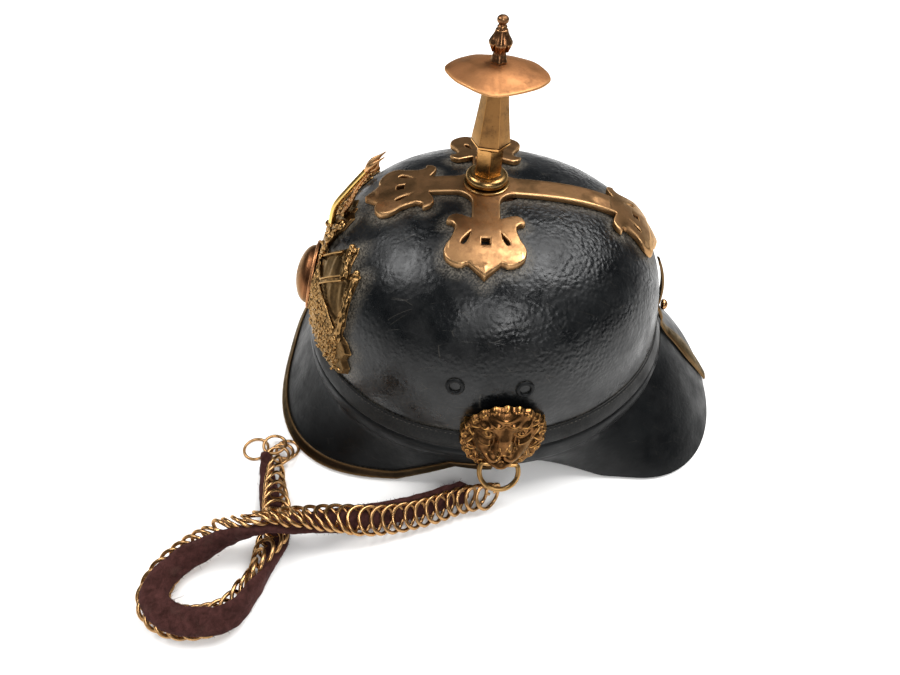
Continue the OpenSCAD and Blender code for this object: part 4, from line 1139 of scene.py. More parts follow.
    def rim(self) -> None:
        """The folded brass channel on the front visor."""
        rows = []
        for s in np.linspace(0, 1, 120):
            long = FRONT.length(s)
            up, under = 1 - min(5.6, 0.8 * long) / long, 1 - min(4.1, 0.6 * long) / long
            gap, t = 0.3, 0.9
            o = gap + t
            tip = unit(FRONT.mid(s, 1) - FRONT.mid(s, 0.9))
            mid = -FRONT.thick / 2
            half = FRONT.normal(s, 1) * (FRONT.thick / 2 + o)
            fold = [FRONT.at(s, 1, mid) + tip * (0.2 + 1.6 * math.cos(a)) + half * math.sin(a)
                    for a in np.radians([90, 68, 46, 23, 0, -23, -46, -68, -90])]
            row = [FRONT.at(s, up, gap + 0.1), FRONT.at(s, up, o - 0.15),
                   FRONT.at(s, up + (1 - up) * 0.06, o)]
            row += [FRONT.at(s, up + (1 - up) * k, o + 0.12 * math.sin(k * 9))
                    for k in (0.25, 0.5, 0.75)] + fold
            row += [FRONT.at(s, under, -FRONT.thick - o), FRONT.at(s, under, -FRONT.thick - gap),
                    FRONT.at(s, 1, -FRONT.thick - gap), FRONT.at(s, 1, mid) + tip * gap,
                    FRONT.at(s, 1, gap), FRONT.at(s, up + (1 - up) * 0.5, gap)]
            rows.append(row)
        self.add("front_rim_brass", Maker.skin(VisorShape.both(rows)), self.f.rim, 42, "brass_dark",
                 "front_visor_rim")

    def linings(self) -> None:
        """Thin leather linings under both flares."""
        for shape, name in ((FRONT, "front_visor_lining"), (REAR, "rear_visor_lining")):
            rows = []
            for s in np.linspace(0, 1, 60):
                reach = 0.97 if shape.rear else 1 - (7.5 * 0.55 + 2.4) / max(shape.length(s), 12)
                ks = np.linspace(0.25, 1, 9)
                outer = [shape.at(s, k * reach, -shape.thick - 0.3) for k in ks]
                inner = [shape.at(s, k * reach, -shape.thick - 0.3 - 0.7) for k in ks[::-1]]
                rows.append(outer + inner)
            self.add(name + "_leather", Maker.skin(VisorShape.both(rows)), self.f.lining, 40,
                     "lining_leather", name)

    def stitches(self) -> None:
        """Lock stitches in the seam that holds the band."""
        parts = []
        for i in range(264):
            t = 360 * i / 264
            half = 0.42
            ends = []
            for d in (-half, -half / 2, 0, half / 2, half):
                ends.append(SKULL.wall(t + d, float(SKULL.seam(t + d)) - 1.25, 1.6 - abs(d) * 0.35))
            ends[0] = SKULL.wall(t - half, float(SKULL.seam(t)) - 1.25, 1.25)
            ends[-1] = SKULL.wall(t + half, float(SKULL.seam(t)) - 1.25, 1.25)
            parts.append(Maker.tube(np.array(ends), [0.12, 0.24, 0.26, 0.24, 0.12], 5))
        self.add("seam_stitches", Maker.join(parts), self.f.thread, 38, "leather_black")

    def vents(self) -> None:
        """Four enamelled eyelets in the side walls."""
        profile = [(2.7, -3.7), (4.1, -3.7), (4.1, 0.15), (5.3, 0.12), (5.45, 0.5), (5.2, 0.95),
                   (4.6, 1.25), (3.9, 1.3), (3.3, 1.1), (2.9, 0.5)]
        parts = []
        for side in Side:
            for y in (-33.9, 4.6):
                z = 87.4
                x = float(SKULL.side_x(y, z))
                e = 0.5
                n = unit([1, -float(SKULL.side_x(y + e, z) - SKULL.side_x(y - e, z)) / (2 * e),
                          -float(SKULL.side_x(y, z + e) - SKULL.side_x(y, z - e)) / (2 * e)])
                points, faces = Maker.lathe(profile, (0, 0, 0), 40)
                across = unit(np.cross((0, 0, 1), n))
                up = np.cross(n, across)
                placed = np.array([x, y, z]) + points @ np.array([across, up, n])
                parts.append((placed * (side.value, 1, 1), faces))
        self.add("vent_eyelet_rings", Maker.join(parts), self.f.visor, 40, "eyelet_black", "vent_eyelets")

    def build(self) -> None:
        """Adds every piece of the shell."""
        self.skull()
        self.band()
        self.visor(FRONT, "front_visor")
        self.visor(REAR, "rear_visor")
        self.rim()
        self.linings()
        self.stitches()
        self.vents()


@dataclass(frozen=True)
class SpikeSizes:
    """Sizes of the cross and spike, from the dome up."""

    under: float = 0.5
    cross_t: float = 3.4
    boss_rise: float = 0.3
    play: float = 0.05
    flange_h: float = 1.4
    foot_r: float = 12.4
    foot_wire: float = 3.2
    land_h: float = 0.1
    neck_h: float = 17.2
    cornice_r: float = 11.1
    cornice_h: float = 2.6
    column_h: float = 43.0
    column_top_r: float = 5.6
    disc_reach: float = 27.7
    disc_power: float = 1.68
    disc_t: float = 1.4
    disc_droop: float = 6.8
    finial_h: float = 23.4
    finial_drawn_h: float = 26.0


class Crown(Assembly):
    """Cross, spike column, disc and finial."""

    size = SpikeSizes()
    boss_top = float(SKULL.top(0, SPIKE_Y)) + size.under + size.cross_t + size.boss_rise

    def cross(self) -> None:
        """The cross with its fleur ends and raised boss."""
        outline, holes = cross_outline()
        under = self.size.under

        def place(x: np.ndarray, y: np.ndarray, h: np.ndarray) -> np.ndarray:
            """Lays the cross on the dome; its far arm has sprung clear of the dome toward its end."""
            sprung = 6.5 * np.clip((-x - 46) / 24, 0, 1) ** 1.5
            return np.stack([x, y + SPIKE_Y, SKULL.top(x, y + SPIKE_Y, under + h) + sprung], -1)

        def relief(x: np.ndarray, y: np.ndarray) -> np.ndarray:
            """The boss in the middle and the ridged points of the arms."""
            r = np.hypot(x, y)
            boss = self.size.boss_rise * np.clip((18.5 - r) / 4.6, 0, 1)
            ax, ay = np.abs(x), np.abs(y)
            along, off = np.maximum(ax, ay), np.minimum(ax, ay)
            ridge = 1.0 * np.clip((along - 62.5) / 2, 0, 1) * np.clip(1 - off / 5.5, 0, 1) * (along < 74)
            return boss + ridge

        made = Maker.stamped("cross_brass", [outline] + holes, place, self.size.cross_t, 0.9, 2.2,
                             self.f.cross, relief, 40)
        self.keep(made, "copper_brass", "cross_mount")

    def foot(self) -> None:
        """Turned ring and flange under the spike."""
        h, w, r = self.size.flange_h, self.size.foot_wire, self.size.foot_r - self.size.foot_wire
        torus = [(r + w * math.cos(a), h + w - 0.2 + w * math.sin(a))
                 for a in np.radians(np.arange(-80, 121, 10))]
        high = 2 * w + h + self.size.land_h
        land = [(9.4, 2 * w + h - 0.6), (9.4, high), (4.3, high), (4.3, 0)]
        profile = [(12.8, 0), (13.3, 0.25), (13.4, 0.7), (13.2, 1.2), (12.7, 1.4)] + torus + land
        ring = Maker.lathe(profile, (0, SPIKE_Y, self.boss_top))
        self.add("foot_ring_brass", ring, self.f.turned, 40, "brass", "spike_foot_ring")

    @staticmethod
    def hexagon(r: float, z: float, turn: float, round_r: float = 0.5) -> list:
        """A six-sided ring with rounded corners.

        Args:
            r: radius to the corners.
            z: height.
            turn: turn in degrees.
            round_r: radius of the corners.

        Returns:
            Places round the ring.
        """
        ring = []
        for i in range(6):
            a = math.radians(60 * i + turn)
            corner = np.array([math.cos(a), math.sin(a)]) * (r - round_r * 2 / math.sqrt(3))
            for d in (-30, -15, 0, 15, 30):
                b = a + math.radians(d)
                x, y = corner[0] + round_r * math.cos(b), corner[1] + round_r * math.sin(b)
                ring.append((x, SPIKE_Y + y, z))
        return ring

    def column(self) -> None:
        """Six-sided neck, cornice and tapering column."""
        size = self.size
        foot = self.boss_top + size.flange_h + 2 * size.foot_wire + size.land_h + size.play
        cornice = foot + size.neck_h
        wide, base = size.cornice_r, cornice + size.cornice_h
        neck = [(8.1, foot), (8.2, foot + 0.3), (8.3, foot + 9), (8.4, cornice - 0.2)]
        rows = [self.hexagon(r, z, 4) for r, z in neck]
        body = [(8.8, cornice - 0.2), (9.2, cornice), (wide - 0.2, cornice + 1.3), (wide, cornice + 1.6),
                (wide, cornice + 2.5), (wide - 0.2, cornice + 2.8)]
        top = base + size.column_h
        for k in np.linspace(0.02, 0.995, 12):
            r = wide + (size.column_top_r - wide) * k - 0.25 * math.sin(math.pi * k)
            body.append((r, base + size.column_h * k))
        body.append((size.column_top_r - 0.2, top))
        upper = [self.hexagon(r, z, -38) for r, z in body]
        parts = [Maker.skin(np.array(rows)), Maker.skin(np.array(upper))]
        self.add("spike_column_brass", Maker.join(parts), self.f.mirror, 22, "brass", "spike_column",
                 body="spike")
        self.top = top

    def disc(self) -> None:
        """The four-cornered disc that droops toward its edge."""
        rows = []
        size = self.size
        under, power = self.top + size.play, size.disc_power
        for i in range(240):
            a = 2 * math.pi * i / 240
            c, s = math.cos(a), math.sin(a)
            ct, st = math.cos(a + 0.16), math.sin(a + 0.16)
            edge = size.disc_reach / (abs(ct) ** power + abs(st) ** power) ** (1 / power)
            edge = edge + 0.35 * noise.noise(Vector((c * 2.3, s * 2.3, 4)))

            def spot(k: float, lift: float) -> tuple:
                """A point at share k of the way out, lifted off the disc's underside."""
                r = max(2.25, edge * k)
                over = max(0.0, r - 6.6)
                fall = (over / 21.1) ** 1.28
                dent = 0.3 * noise.noise(Vector((r * c / 9, r * s / 9, 1.5))) * min(1, over / 6)
                tilt = 0.087 * over * c + 0.06 * over * abs(s)
                return (r * c, SPIKE_Y + r * s, under + lift - size.disc_droop * fall + tilt + dent)

            ks = [0, 0.12, 0.2, 0.24, 0.3, 0.4, 0.5, 0.6, 0.7, 0.8, 0.9, 0.97]
            row = [spot(k, size.disc_t) for k in ks]
            row += [spot(0.99, 1.3), spot(1.0, 1.0), spot(1.0, 0.45), spot(0.988, 0.1)]
            row += [spot(k, 0.0) for k in reversed(ks)]
            rows.append(row)
        self.add("spike_disc_copper", Maker.skin(np.array(rows), closed=True), self.f.disc, 40,
                 "copper_brass", "spike_disc", body="spike")

    def finial(self) -> None:
        """Bronze finial: flared leaf foot, waist, leafy cap with hanging tips, collar and a small ball."""
        z0 = self.top + self.size.play + self.size.disc_t + self.size.play
        k = self.size.finial_h / self.size.finial_drawn_h
        shape = Maker.smooth([
            (4.3, 0.05), (4.7, 0.5), (4.5, 1.4), (3.9, 2.8), (3.7, 4.6), (3.9, 6.6), (4.4, 8.2),
            (4.9, 9.4), (5.3, 10.6), (5.2, 11.8), (4.6, 13.2), (3.9, 14.8), (3.5, 16.4), (3.3, 17.6),
            (3.1, 18.4), (2.3, 18.8), (2.2, 19.4), (2.6, 19.8), (2.3, 20.4), (1.9, 20.9), (2.1, 21.5),
            (2.7, 22.3), (3.0, 23.4), (2.8, 24.6), (1.8, 25.6), (0.3, 26)], 4)
        rows = []
        for i in range(192):
            a = 2 * math.pi * i / 192
            tooth = 2 * abs((3 * a / math.pi) % 1 - 0.5)  # six leaves over, six under
            row = [(0.0, 0.05 * k)]
            for r, h in shape:
                cut = 0.0
                if 3.0 < h < 17.6:  # the upper leaves end in points that hang to the stem
                    over = min(1.0, max(0.0, (h - 11.6 + 5.4 * tooth) / 0.45))
                    rib = 0.35 * abs(tooth - 0.5) * 2
                    cut = (0.55 + rib) * over * min(1, (17.6 - h) / 4)
                    cut -= 0.75 * (1 - over) * min(1, (h - 3) / 2)
                    cut += 0.3 * (1 - over) * (tooth < 0.22)
                if h < 4.4:
                    cut -= 0.9 * (1 - tooth) * (1 - h / 4.4)
                row.append((max(0.05, r + cut), h * k))
            row.append((0.0, self.size.finial_h))
            rows.append([(r * math.cos(a), SPIKE_Y + r * math.sin(a), z0 + h) for r, h in row])
        self.add("spike_finial_bronze", Maker.skin(np.array(rows), closed=True), self.f.dark, 34,
                 "bronze_dark", "spike_finial", body="finial")

    def build(self) -> None:
        """Adds every piece of the crown."""
        self.cross()
        self.foot()
        self.column()
        self.disc()
        self.finial()


class Back(Assembly):
    """Spine strip and its stud."""

    stud_z = 67.6

    def build(self) -> None:
        """Adds the spine and stud."""
        path = []
        for k in np.linspace(0, 1, 16):
            z = 104.5 + (self.stud_z - 104.5) * k
            path.append((SKULL.wall(180, z, 0.9 + 2.2 * math.sin(math.radians(160 * k))), 3.4))
        for z, off, w in ((62, 4.0, 3.5), (57.5, 5.7, 3.8), (53, 5.8, 4.4)):
            path.append((SKULL.wall(180, z, off), w))
        for k in np.linspace(0.1, 1, 20):
            path.append((REAR.at(0, 0.04 + 0.96 * k, 0.5),
                         float(np.interp(k, (0, 0.5, 1), (3.2, 9.5, 5.5)))))
        line = np.array([p for p, _ in path])
        line[:, 0] = 0
        fine = Maker.smooth(line, 2)
        wide = Maker.smooth([(w, 0, 0) for _, w in path], 2)[:, 0]
        along = np.gradient(fine, axis=0)
        rows = []
        for p, d, h in zip(fine, along, wide):
            n = unit([0, -d[2], d[1]])
            crown = h * 0.16
            ks = np.linspace(-1, 1, 11)
            row = []
            for q in ks:
                at_edge = abs(q) == 1
                out = 1.3 + crown * (1 - q * q) - 0.35 * at_edge
                row.append(p + np.array([h * q * (0.97 if at_edge else 1), 0, 0]) + n * out)
            row += [p + np.array([h * q, 0, 0]) + n * (0.1 + crown * (1 - q * q)) for q in ks[::-1]]
            rows.append(row)
        self.add("rear_spine_brass", Maker.skin(np.array(rows)), self.f.rim, 40, "brass", "rear_spine")
        seat = SKULL.wall(180, self.stud_z, 5.7)
        ball = [(3.6 * math.cos(a), 0.8 + 3 * math.sin(a)) for a in np.radians(np.arange(0, 90, 9))]
        profile = [(0, 0), (3.2, 0), (3.6, 0.3)] + ball + [(0, 3.8)]
        points, faces = Maker.lathe(profile, (0, 0, 0), 40)
        turned = np.stack([points[:, 0], seat[1] + points[:, 2], self.stud_z + points[:, 1]], -1)
        self.add("spine_stud_brass", (turned, faces), self.f.dark, 40, "brass", "spine_stud")


class BrowPlate(Assembly):
    """Stamped front plate, its shield and its crest; places on it are (x, z)."""

    poles = (((35.4, 127.4), (38.4, 125.8), (44.4, 122.2), (50.6, 117.8)),
             ((53.8, 123.4), (58.6, 117.4), (64, 109), (68, 99.6), (70.6, 89.6)))
    knobs = ((36.2, 128.2, 1.9), (39.8, 128.6, 1.6), (54.2, 124.2, 1.9), (57, 121.6, 1.4),
             (70.6, 88.8, 1.6))
    scrolls = ((7.6, 121.8, 4.4, -90, 1.3), (11.6, 114.6, 3.4, 60, -1.3), (3.6, 111.6, 2.8, 20, 1.2),
               (12.4, 125.0, 2.4, 200, 1.2), (16.6, 109.4, 2.8, 120, -1.2), (20.6, 107.6, 1.9, 90, 1.1))
    buds = ((2.6, 126.6), (5.4, 116.4), (9.4, 109.4), (14.4, 120.6), (18.4, 113))
    tips = ((0, -80.6, 169.2, 1.7), (2.6, -81.0, 167.2, 1.5), (-2.6, -81.0, 167.2, 1.5),
            (0, -84.2, 165, 1.4))

    def plate(self) -> None:
        """Wreath, draped flags and crown part in relief."""

        def place(x: np.ndarray, z: np.ndarray, h: np.ndarray) -> np.ndarray:
            """Lays the plate on the brow."""
            return np.stack([x, SKULL.brow_y(x, z, PLATE.under + h), z], -1)

        def inside(a: np.ndarray, z: np.ndarray, loop: list) -> np.ndarray:
            """Distance inside a convex loop, negative outside it."""
            hit = np.full(np.shape(a), 9.0)
            for (xa, za), (xb, zb) in zip(loop, loop[1:] + loop[:1]):
                long = math.hypot(xb - xa, zb - za)
                hit = np.minimum(hit, ((xb - xa) * (z - za) - (zb - za) * (a - xa)) / long)
            return hit

        def relief(x: np.ndarray, z: np.ndarray) -> np.ndarray:
            """Stamped height of the plate."""
            a = np.abs(x)
            high = np.zeros_like(a)
            # draped cloth panels: sunk mirror fields with soft folds, inside raised hems
            for loop in PLATE.panels:
                d = inside(a, z, list(loop))
                along = (a - loop[0][0]) * 0.74 + (z - loop[0][1]) * 0.67
                fold = 0.3 * np.sin(along * 0.62) + 0.1 * np.sin(along * 1.5 + 1.0)
                high = np.where(d > -1.3, 1.5, high)
                high = np.where(d > 0, 0.35 + fold * np.clip(d / 3, 0, 1), high)
            # rough ground of the wreath, and the swelling crown part
            rough = 0.9 + 0.35 * np.abs(np.sin(a * 1.35 + z * 0.6) * np.sin(z * 1.5 - a * 0.5))
            high = np.where(high == 0, rough, high)
            crown = 1.2 * bell(a - 5, z - 117, 6, 7)
            return high + crown

        made = Maker.stamped("front_plate_brass", [PLATE.loop()], place, PLATE.thick, 0.4, 0.9,
                             self.f.plate, relief, 60)
        self.keep(made, "brass", "front_plate")

    @staticmethod
    def leaf(at: np.ndarray, way: np.ndarray, up: np.ndarray, long: float, wide: float,
             high: float) -> Mesh:
        """One pointed leaf with a raised middle rib.

        Args:
            at: its foot.
            way: heading.
            up: outward direction.
            long: length.
            wide: width.
            high: height of the rib.

        Returns:
            Points and faces.
        """
        way, up = unit(way), unit(up - way * np.dot(up, way) / np.dot(way, way))
        side = np.cross(way, up)
        rows = []
        for k in np.linspace(0, 1, 7):
            w = wide * math.sin(math.pi * min(1, 0.12 + 0.88 * k) ** 0.8) + 0.05
            lift = high * math.sin(math.pi * (0.15 + 0.8 * k))
            c = at + way * long * k
            row = []
            for q in (-1, -0.5, 0, 0.5, 1):
                rib = 0.35 * high if q == 0 else 0
                row.append(c + side * w * q + up * (lift * (1 - 0.65 * q * q) + rib))
            row += [c + side * w * q - up * 0.1 for q in (1, -1)]
            rows.append(row)
        return Maker.skin(np.array(rows))

    def wreath(self) -> None:
        """Small laurel leaves, berries and buds that fill the plate round the shield."""
        rng = random.Random(7)
        parts = []

        def top(a: float) -> float:
            """Upper limit of the leaves, which lies under the shield and the draped flags."""
            return np.interp(a, (0, 20, 24, 36, 54, 66, 71, 76), (66, 68, 103, 99, 96, 90.5, 88, 66))

        for m in (-1, 1):
            for i, a0 in enumerate(np.arange(1.5, 76, 2.9)):
                for z0 in np.arange(65.2, top(a0) - 1, 2.9):
                    a = a0 + rng.uniform(-0.9, 0.9)
                    z = z0 + (1.4 if i % 2 else 0) + rng.uniform(-0.8, 0.8)
                    if math.hypot(a, z - 75) < 19 or z > top(a) - 0.5:
                        continue
                    x = m * a
                    out = self._out(x, z)
                    spot = np.array([x, float(SKULL.brow_y(x, z, 3.4)), z])
                    turn = math.atan2(z - 72, a + 2) + rng.uniform(-0.5, 0.5)
                    turn += math.pi / 2 if a < 34 else 0.9
                    way = np.array([m * math.cos(turn), 0, math.sin(turn)])
                    way = way - out * np.dot(way, out)
                    long, wide, high = rng.uniform(3.8, 5.6), rng.uniform(1.0, 1.5), rng.uniform(0.5, 1.0)
                    parts.append(self.leaf(spot, way, out, long, wide, high))
                    if rng.random() < 0.3:
                        parts.append(self._bead(spot + out * rng.uniform(0.6, 1.3),
                                                rng.uniform(0.55, 0.95)))
        self.add("plate_wreath_leaves", Maker.join(parts), self.f.plate, 50, "brass")

    def _out(self, x: float, z: float) -> np.ndarray:
        """The brow's outward direction at x, z."""
        e = 0.6
        fx = float(SKULL.brow_y(x + e, z) - SKULL.brow_y(x - e, z)) / (2 * e)
        fz = float(SKULL.brow_y(x, z + e) - SKULL.brow_y(x, z - e)) / (2 * e)
        return unit([fx, -1, fz])

    @staticmethod
    def _bead(at: np.ndarray, r: float) -> Mesh:
        """A small ball at a place."""
        rows = []
        for b in np.radians(np.linspace(-86, 86, 7)):
            ring = []
            for a in np.radians(np.arange(0, 360, 45)):
                way = np.array([math.cos(b) * math.cos(a), math.cos(b) * math.sin(a), math.sin(b)])
                ring.append(at + r * way)
            rows.append(ring)
        return Maker.skin(np.array(rows))

    @staticmethod
    def curl(x: float, z: float, size: float, start: float, turns: float, m: int,
             h: float = 4.0) -> np.ndarray:
        """A rolled-up scroll end on the plate.

        Args:
            x: its middle, sideways.
            z: its middle, upward.
            size: outer radius.
            start: first angle in degrees.
            turns: how many turns.
            m: 1 or -1, the side of the plate.
            h: height off the plate.

        Returns:
            Its path.
        """
        out = []
        for k in np.linspace(0, 1, 26):
            a = math.radians(start) + turns * 2 * math.pi * k
            r = size * (1 - 0.78 * k)
            px, pz = m * (x + r * math.cos(a)), z + r * math.sin(a)
            out.append((px, float(SKULL.brow_y(px, pz, h + 1.2 * k)), pz))
        return np.array(out)

    def flags(self) -> None:
        """Hems and rope-wound poles of the draped flags, and the scrolls of the crown part."""
        parts = []

        def on(x: float, z: float, h: float) -> np.ndarray:
            """A point h off the brow."""
            return np.array([x, float(SKULL.brow_y(x, z, h)), z])

        for m in (-1, 1):
            upper, lower = PLATE.panels
            edges = [(upper[0], upper[1]), (upper[1], upper[2]), (upper[3], upper[0]), (lower[5], lower[0]),
                     (lower[0], lower[1]), (lower[1], lower[2])]
            for (xa, za), (xb, zb) in edges:
                path = np.array([on(m * (xa + (xb - xa) * k), za + (zb - za) * k, 3.9)
                                 for k in np.linspace(0, 1, 14)])
                parts.append(Maker.tube(path, 0.62 + 0.05 * np.sin(np.arange(14) * 0.9), 8))
            for spots in self.poles:
                flat = Maker.smooth(spots, 26)
                path = np.array([on(m * a, b, 3.3) for a, b in flat])
                turn = np.arange(len(path)) * 0.42
                parts.append(Maker.tube(path, 1.6 + 0.18 * np.sin(turn), 10))
                for j in range(2, len(path) - 8, 31):
                    out = self._out(path[j][0], path[j][2])
                    way = path[j + 8] - path[j]
                    side = np.cross(unit(way), out)
                    for q in (-1, 1):
                        root = path[j] + side * q * 0.6 + out * 0.3
                        parts.append(self.leaf(root, unit(way) + side * q * 0.45, out, 5.2, 1.5, 1.1))
            for a, b, r in self.knobs:
                parts.append(self._bead(on(m * a, b, 4.4), r))
            for x, z, size, start, turns in self.scrolls:
                path = self.curl(x, z, size, start, turns, m)
                parts.append(Maker.tube(path, np.linspace(1.15, 0.7, len(path)), 8))
                parts.append(self._bead(path[-1], 1.1))
            for x, z in self.buds:
                way = np.array([m * 0.3, 0, 1.0])
                parts.append(self.leaf(on(m * x, z - 2, 3.6), way, self._out(m * x, z), 4.6, 1.5, 1.6))
        self.add("plate_flags_and_scrolls", Maker.join(parts), self.f.plate, 45, "brass")

    def shield(self) -> None:
        """Domed round shield with turned rim rings."""
        z, tilt, r, depth = 75.0, 11.0, 22.8, 10.0
        y = float(SKULL.brow_y(0, z, PLATE.under + PLATE.thick + 0.9))
        profile = [(0, 0), (r - 0.2, 0), (r, 0.3), (r, 1.2), (r - 0.25, 1.7), (r - 0.8, 1.95),
                   (r - 1.3, 1.7), (r - 1.6, 1.5), (r - 1.9, 1.8),
                   (r - 2.4, 2.1), (r - 2.9, 1.9), (r - 3.2, 1.75)]
        for k in np.linspace(0.995, 0.02, 26):
            profile.append(((r - 3.3) * k, 1.8 + depth * math.sqrt(max(0, 1 - k * k * 0.998))))
        profile.append((0, 1.8 + depth))
        points, faces = Maker.lathe(profile, (0, 0, 0), 120)
        turn = Matrix.Rotation(math.radians(90 - tilt), 3, "X")
        placed = points @ np.array(turn).T + (0, y, z)
        self.add("plate_shield_brass", (placed, faces), self.f.shield, 30, "copper_brass", "plate_shield")

    def crest(self) -> None:
        """Bright bar that leans back off the dome, its flame tip and strut, edged with scroll work."""
        foot = np.array([0, float(SKULL.brow_y(0, 118, 6.2)), 118.0])
        bar = Maker.smooth([foot, (0, -111.4, 130), (0, -103.5, 141.5), (0, -92.4, 155.6)], 8)
        rod = Maker.tube(bar, np.linspace(2.1, 1.7, len(bar)), 14)
        self.add("plate_crest_bar", rod, self.f.crest, 40, "brass", "plate_crest")
        parts = []
        for x, y, z, wide in self.tips:
            mid = np.array([x * 1.1, -88.2 if z > 165 else -86.4, 161.4 if z > 165 else 158.4])
            tip = Maker.smooth([(0, -92.8, 154.6), mid, (x, y, z)], 9)
            k = np.linspace(0, 1, len(tip))
            swell = 0.7 + 0.75 * np.sin(math.pi * np.minimum(1, k * 1.1 + 0.05)) ** 2
            parts.append(Maker.tube(tip, wide * swell * (1.02 - k) ** 0.4, 9))
        strut = Maker.smooth([(0, -91.6, 153.4), (0, -97.4, 144.6), (0, -101.6, 134),
                              (0, float(SKULL.brow_y(0, 124, 5.0)), 124)], 7)
        parts.append(Maker.tube(strut, 1.25, 10))
        for i in range(9):
            k = i / 8
            p = np.array([0, -106.5, 129]) * (1 - k) + np.array([0, -92.2, 152.6]) * k
            for m in (-1, 1):
                way, out = np.array([m * 0.7, 0.55, 0.9]), np.array([0, -0.6, 0.8])
                parts.append(self.leaf(p + np.array([m * 0.6, 0.6, 0]), way, out, 4.2, 1.1, 0.8))
        self.add("plate_crest_leaves", Maker.join(parts), self.f.dark, 40, "brass")

    def build(self) -> None:
        """Adds the plate and what it carries."""
        self.plate()
        self.wreath()
        self.flags()
        self.shield()
        self.crest()


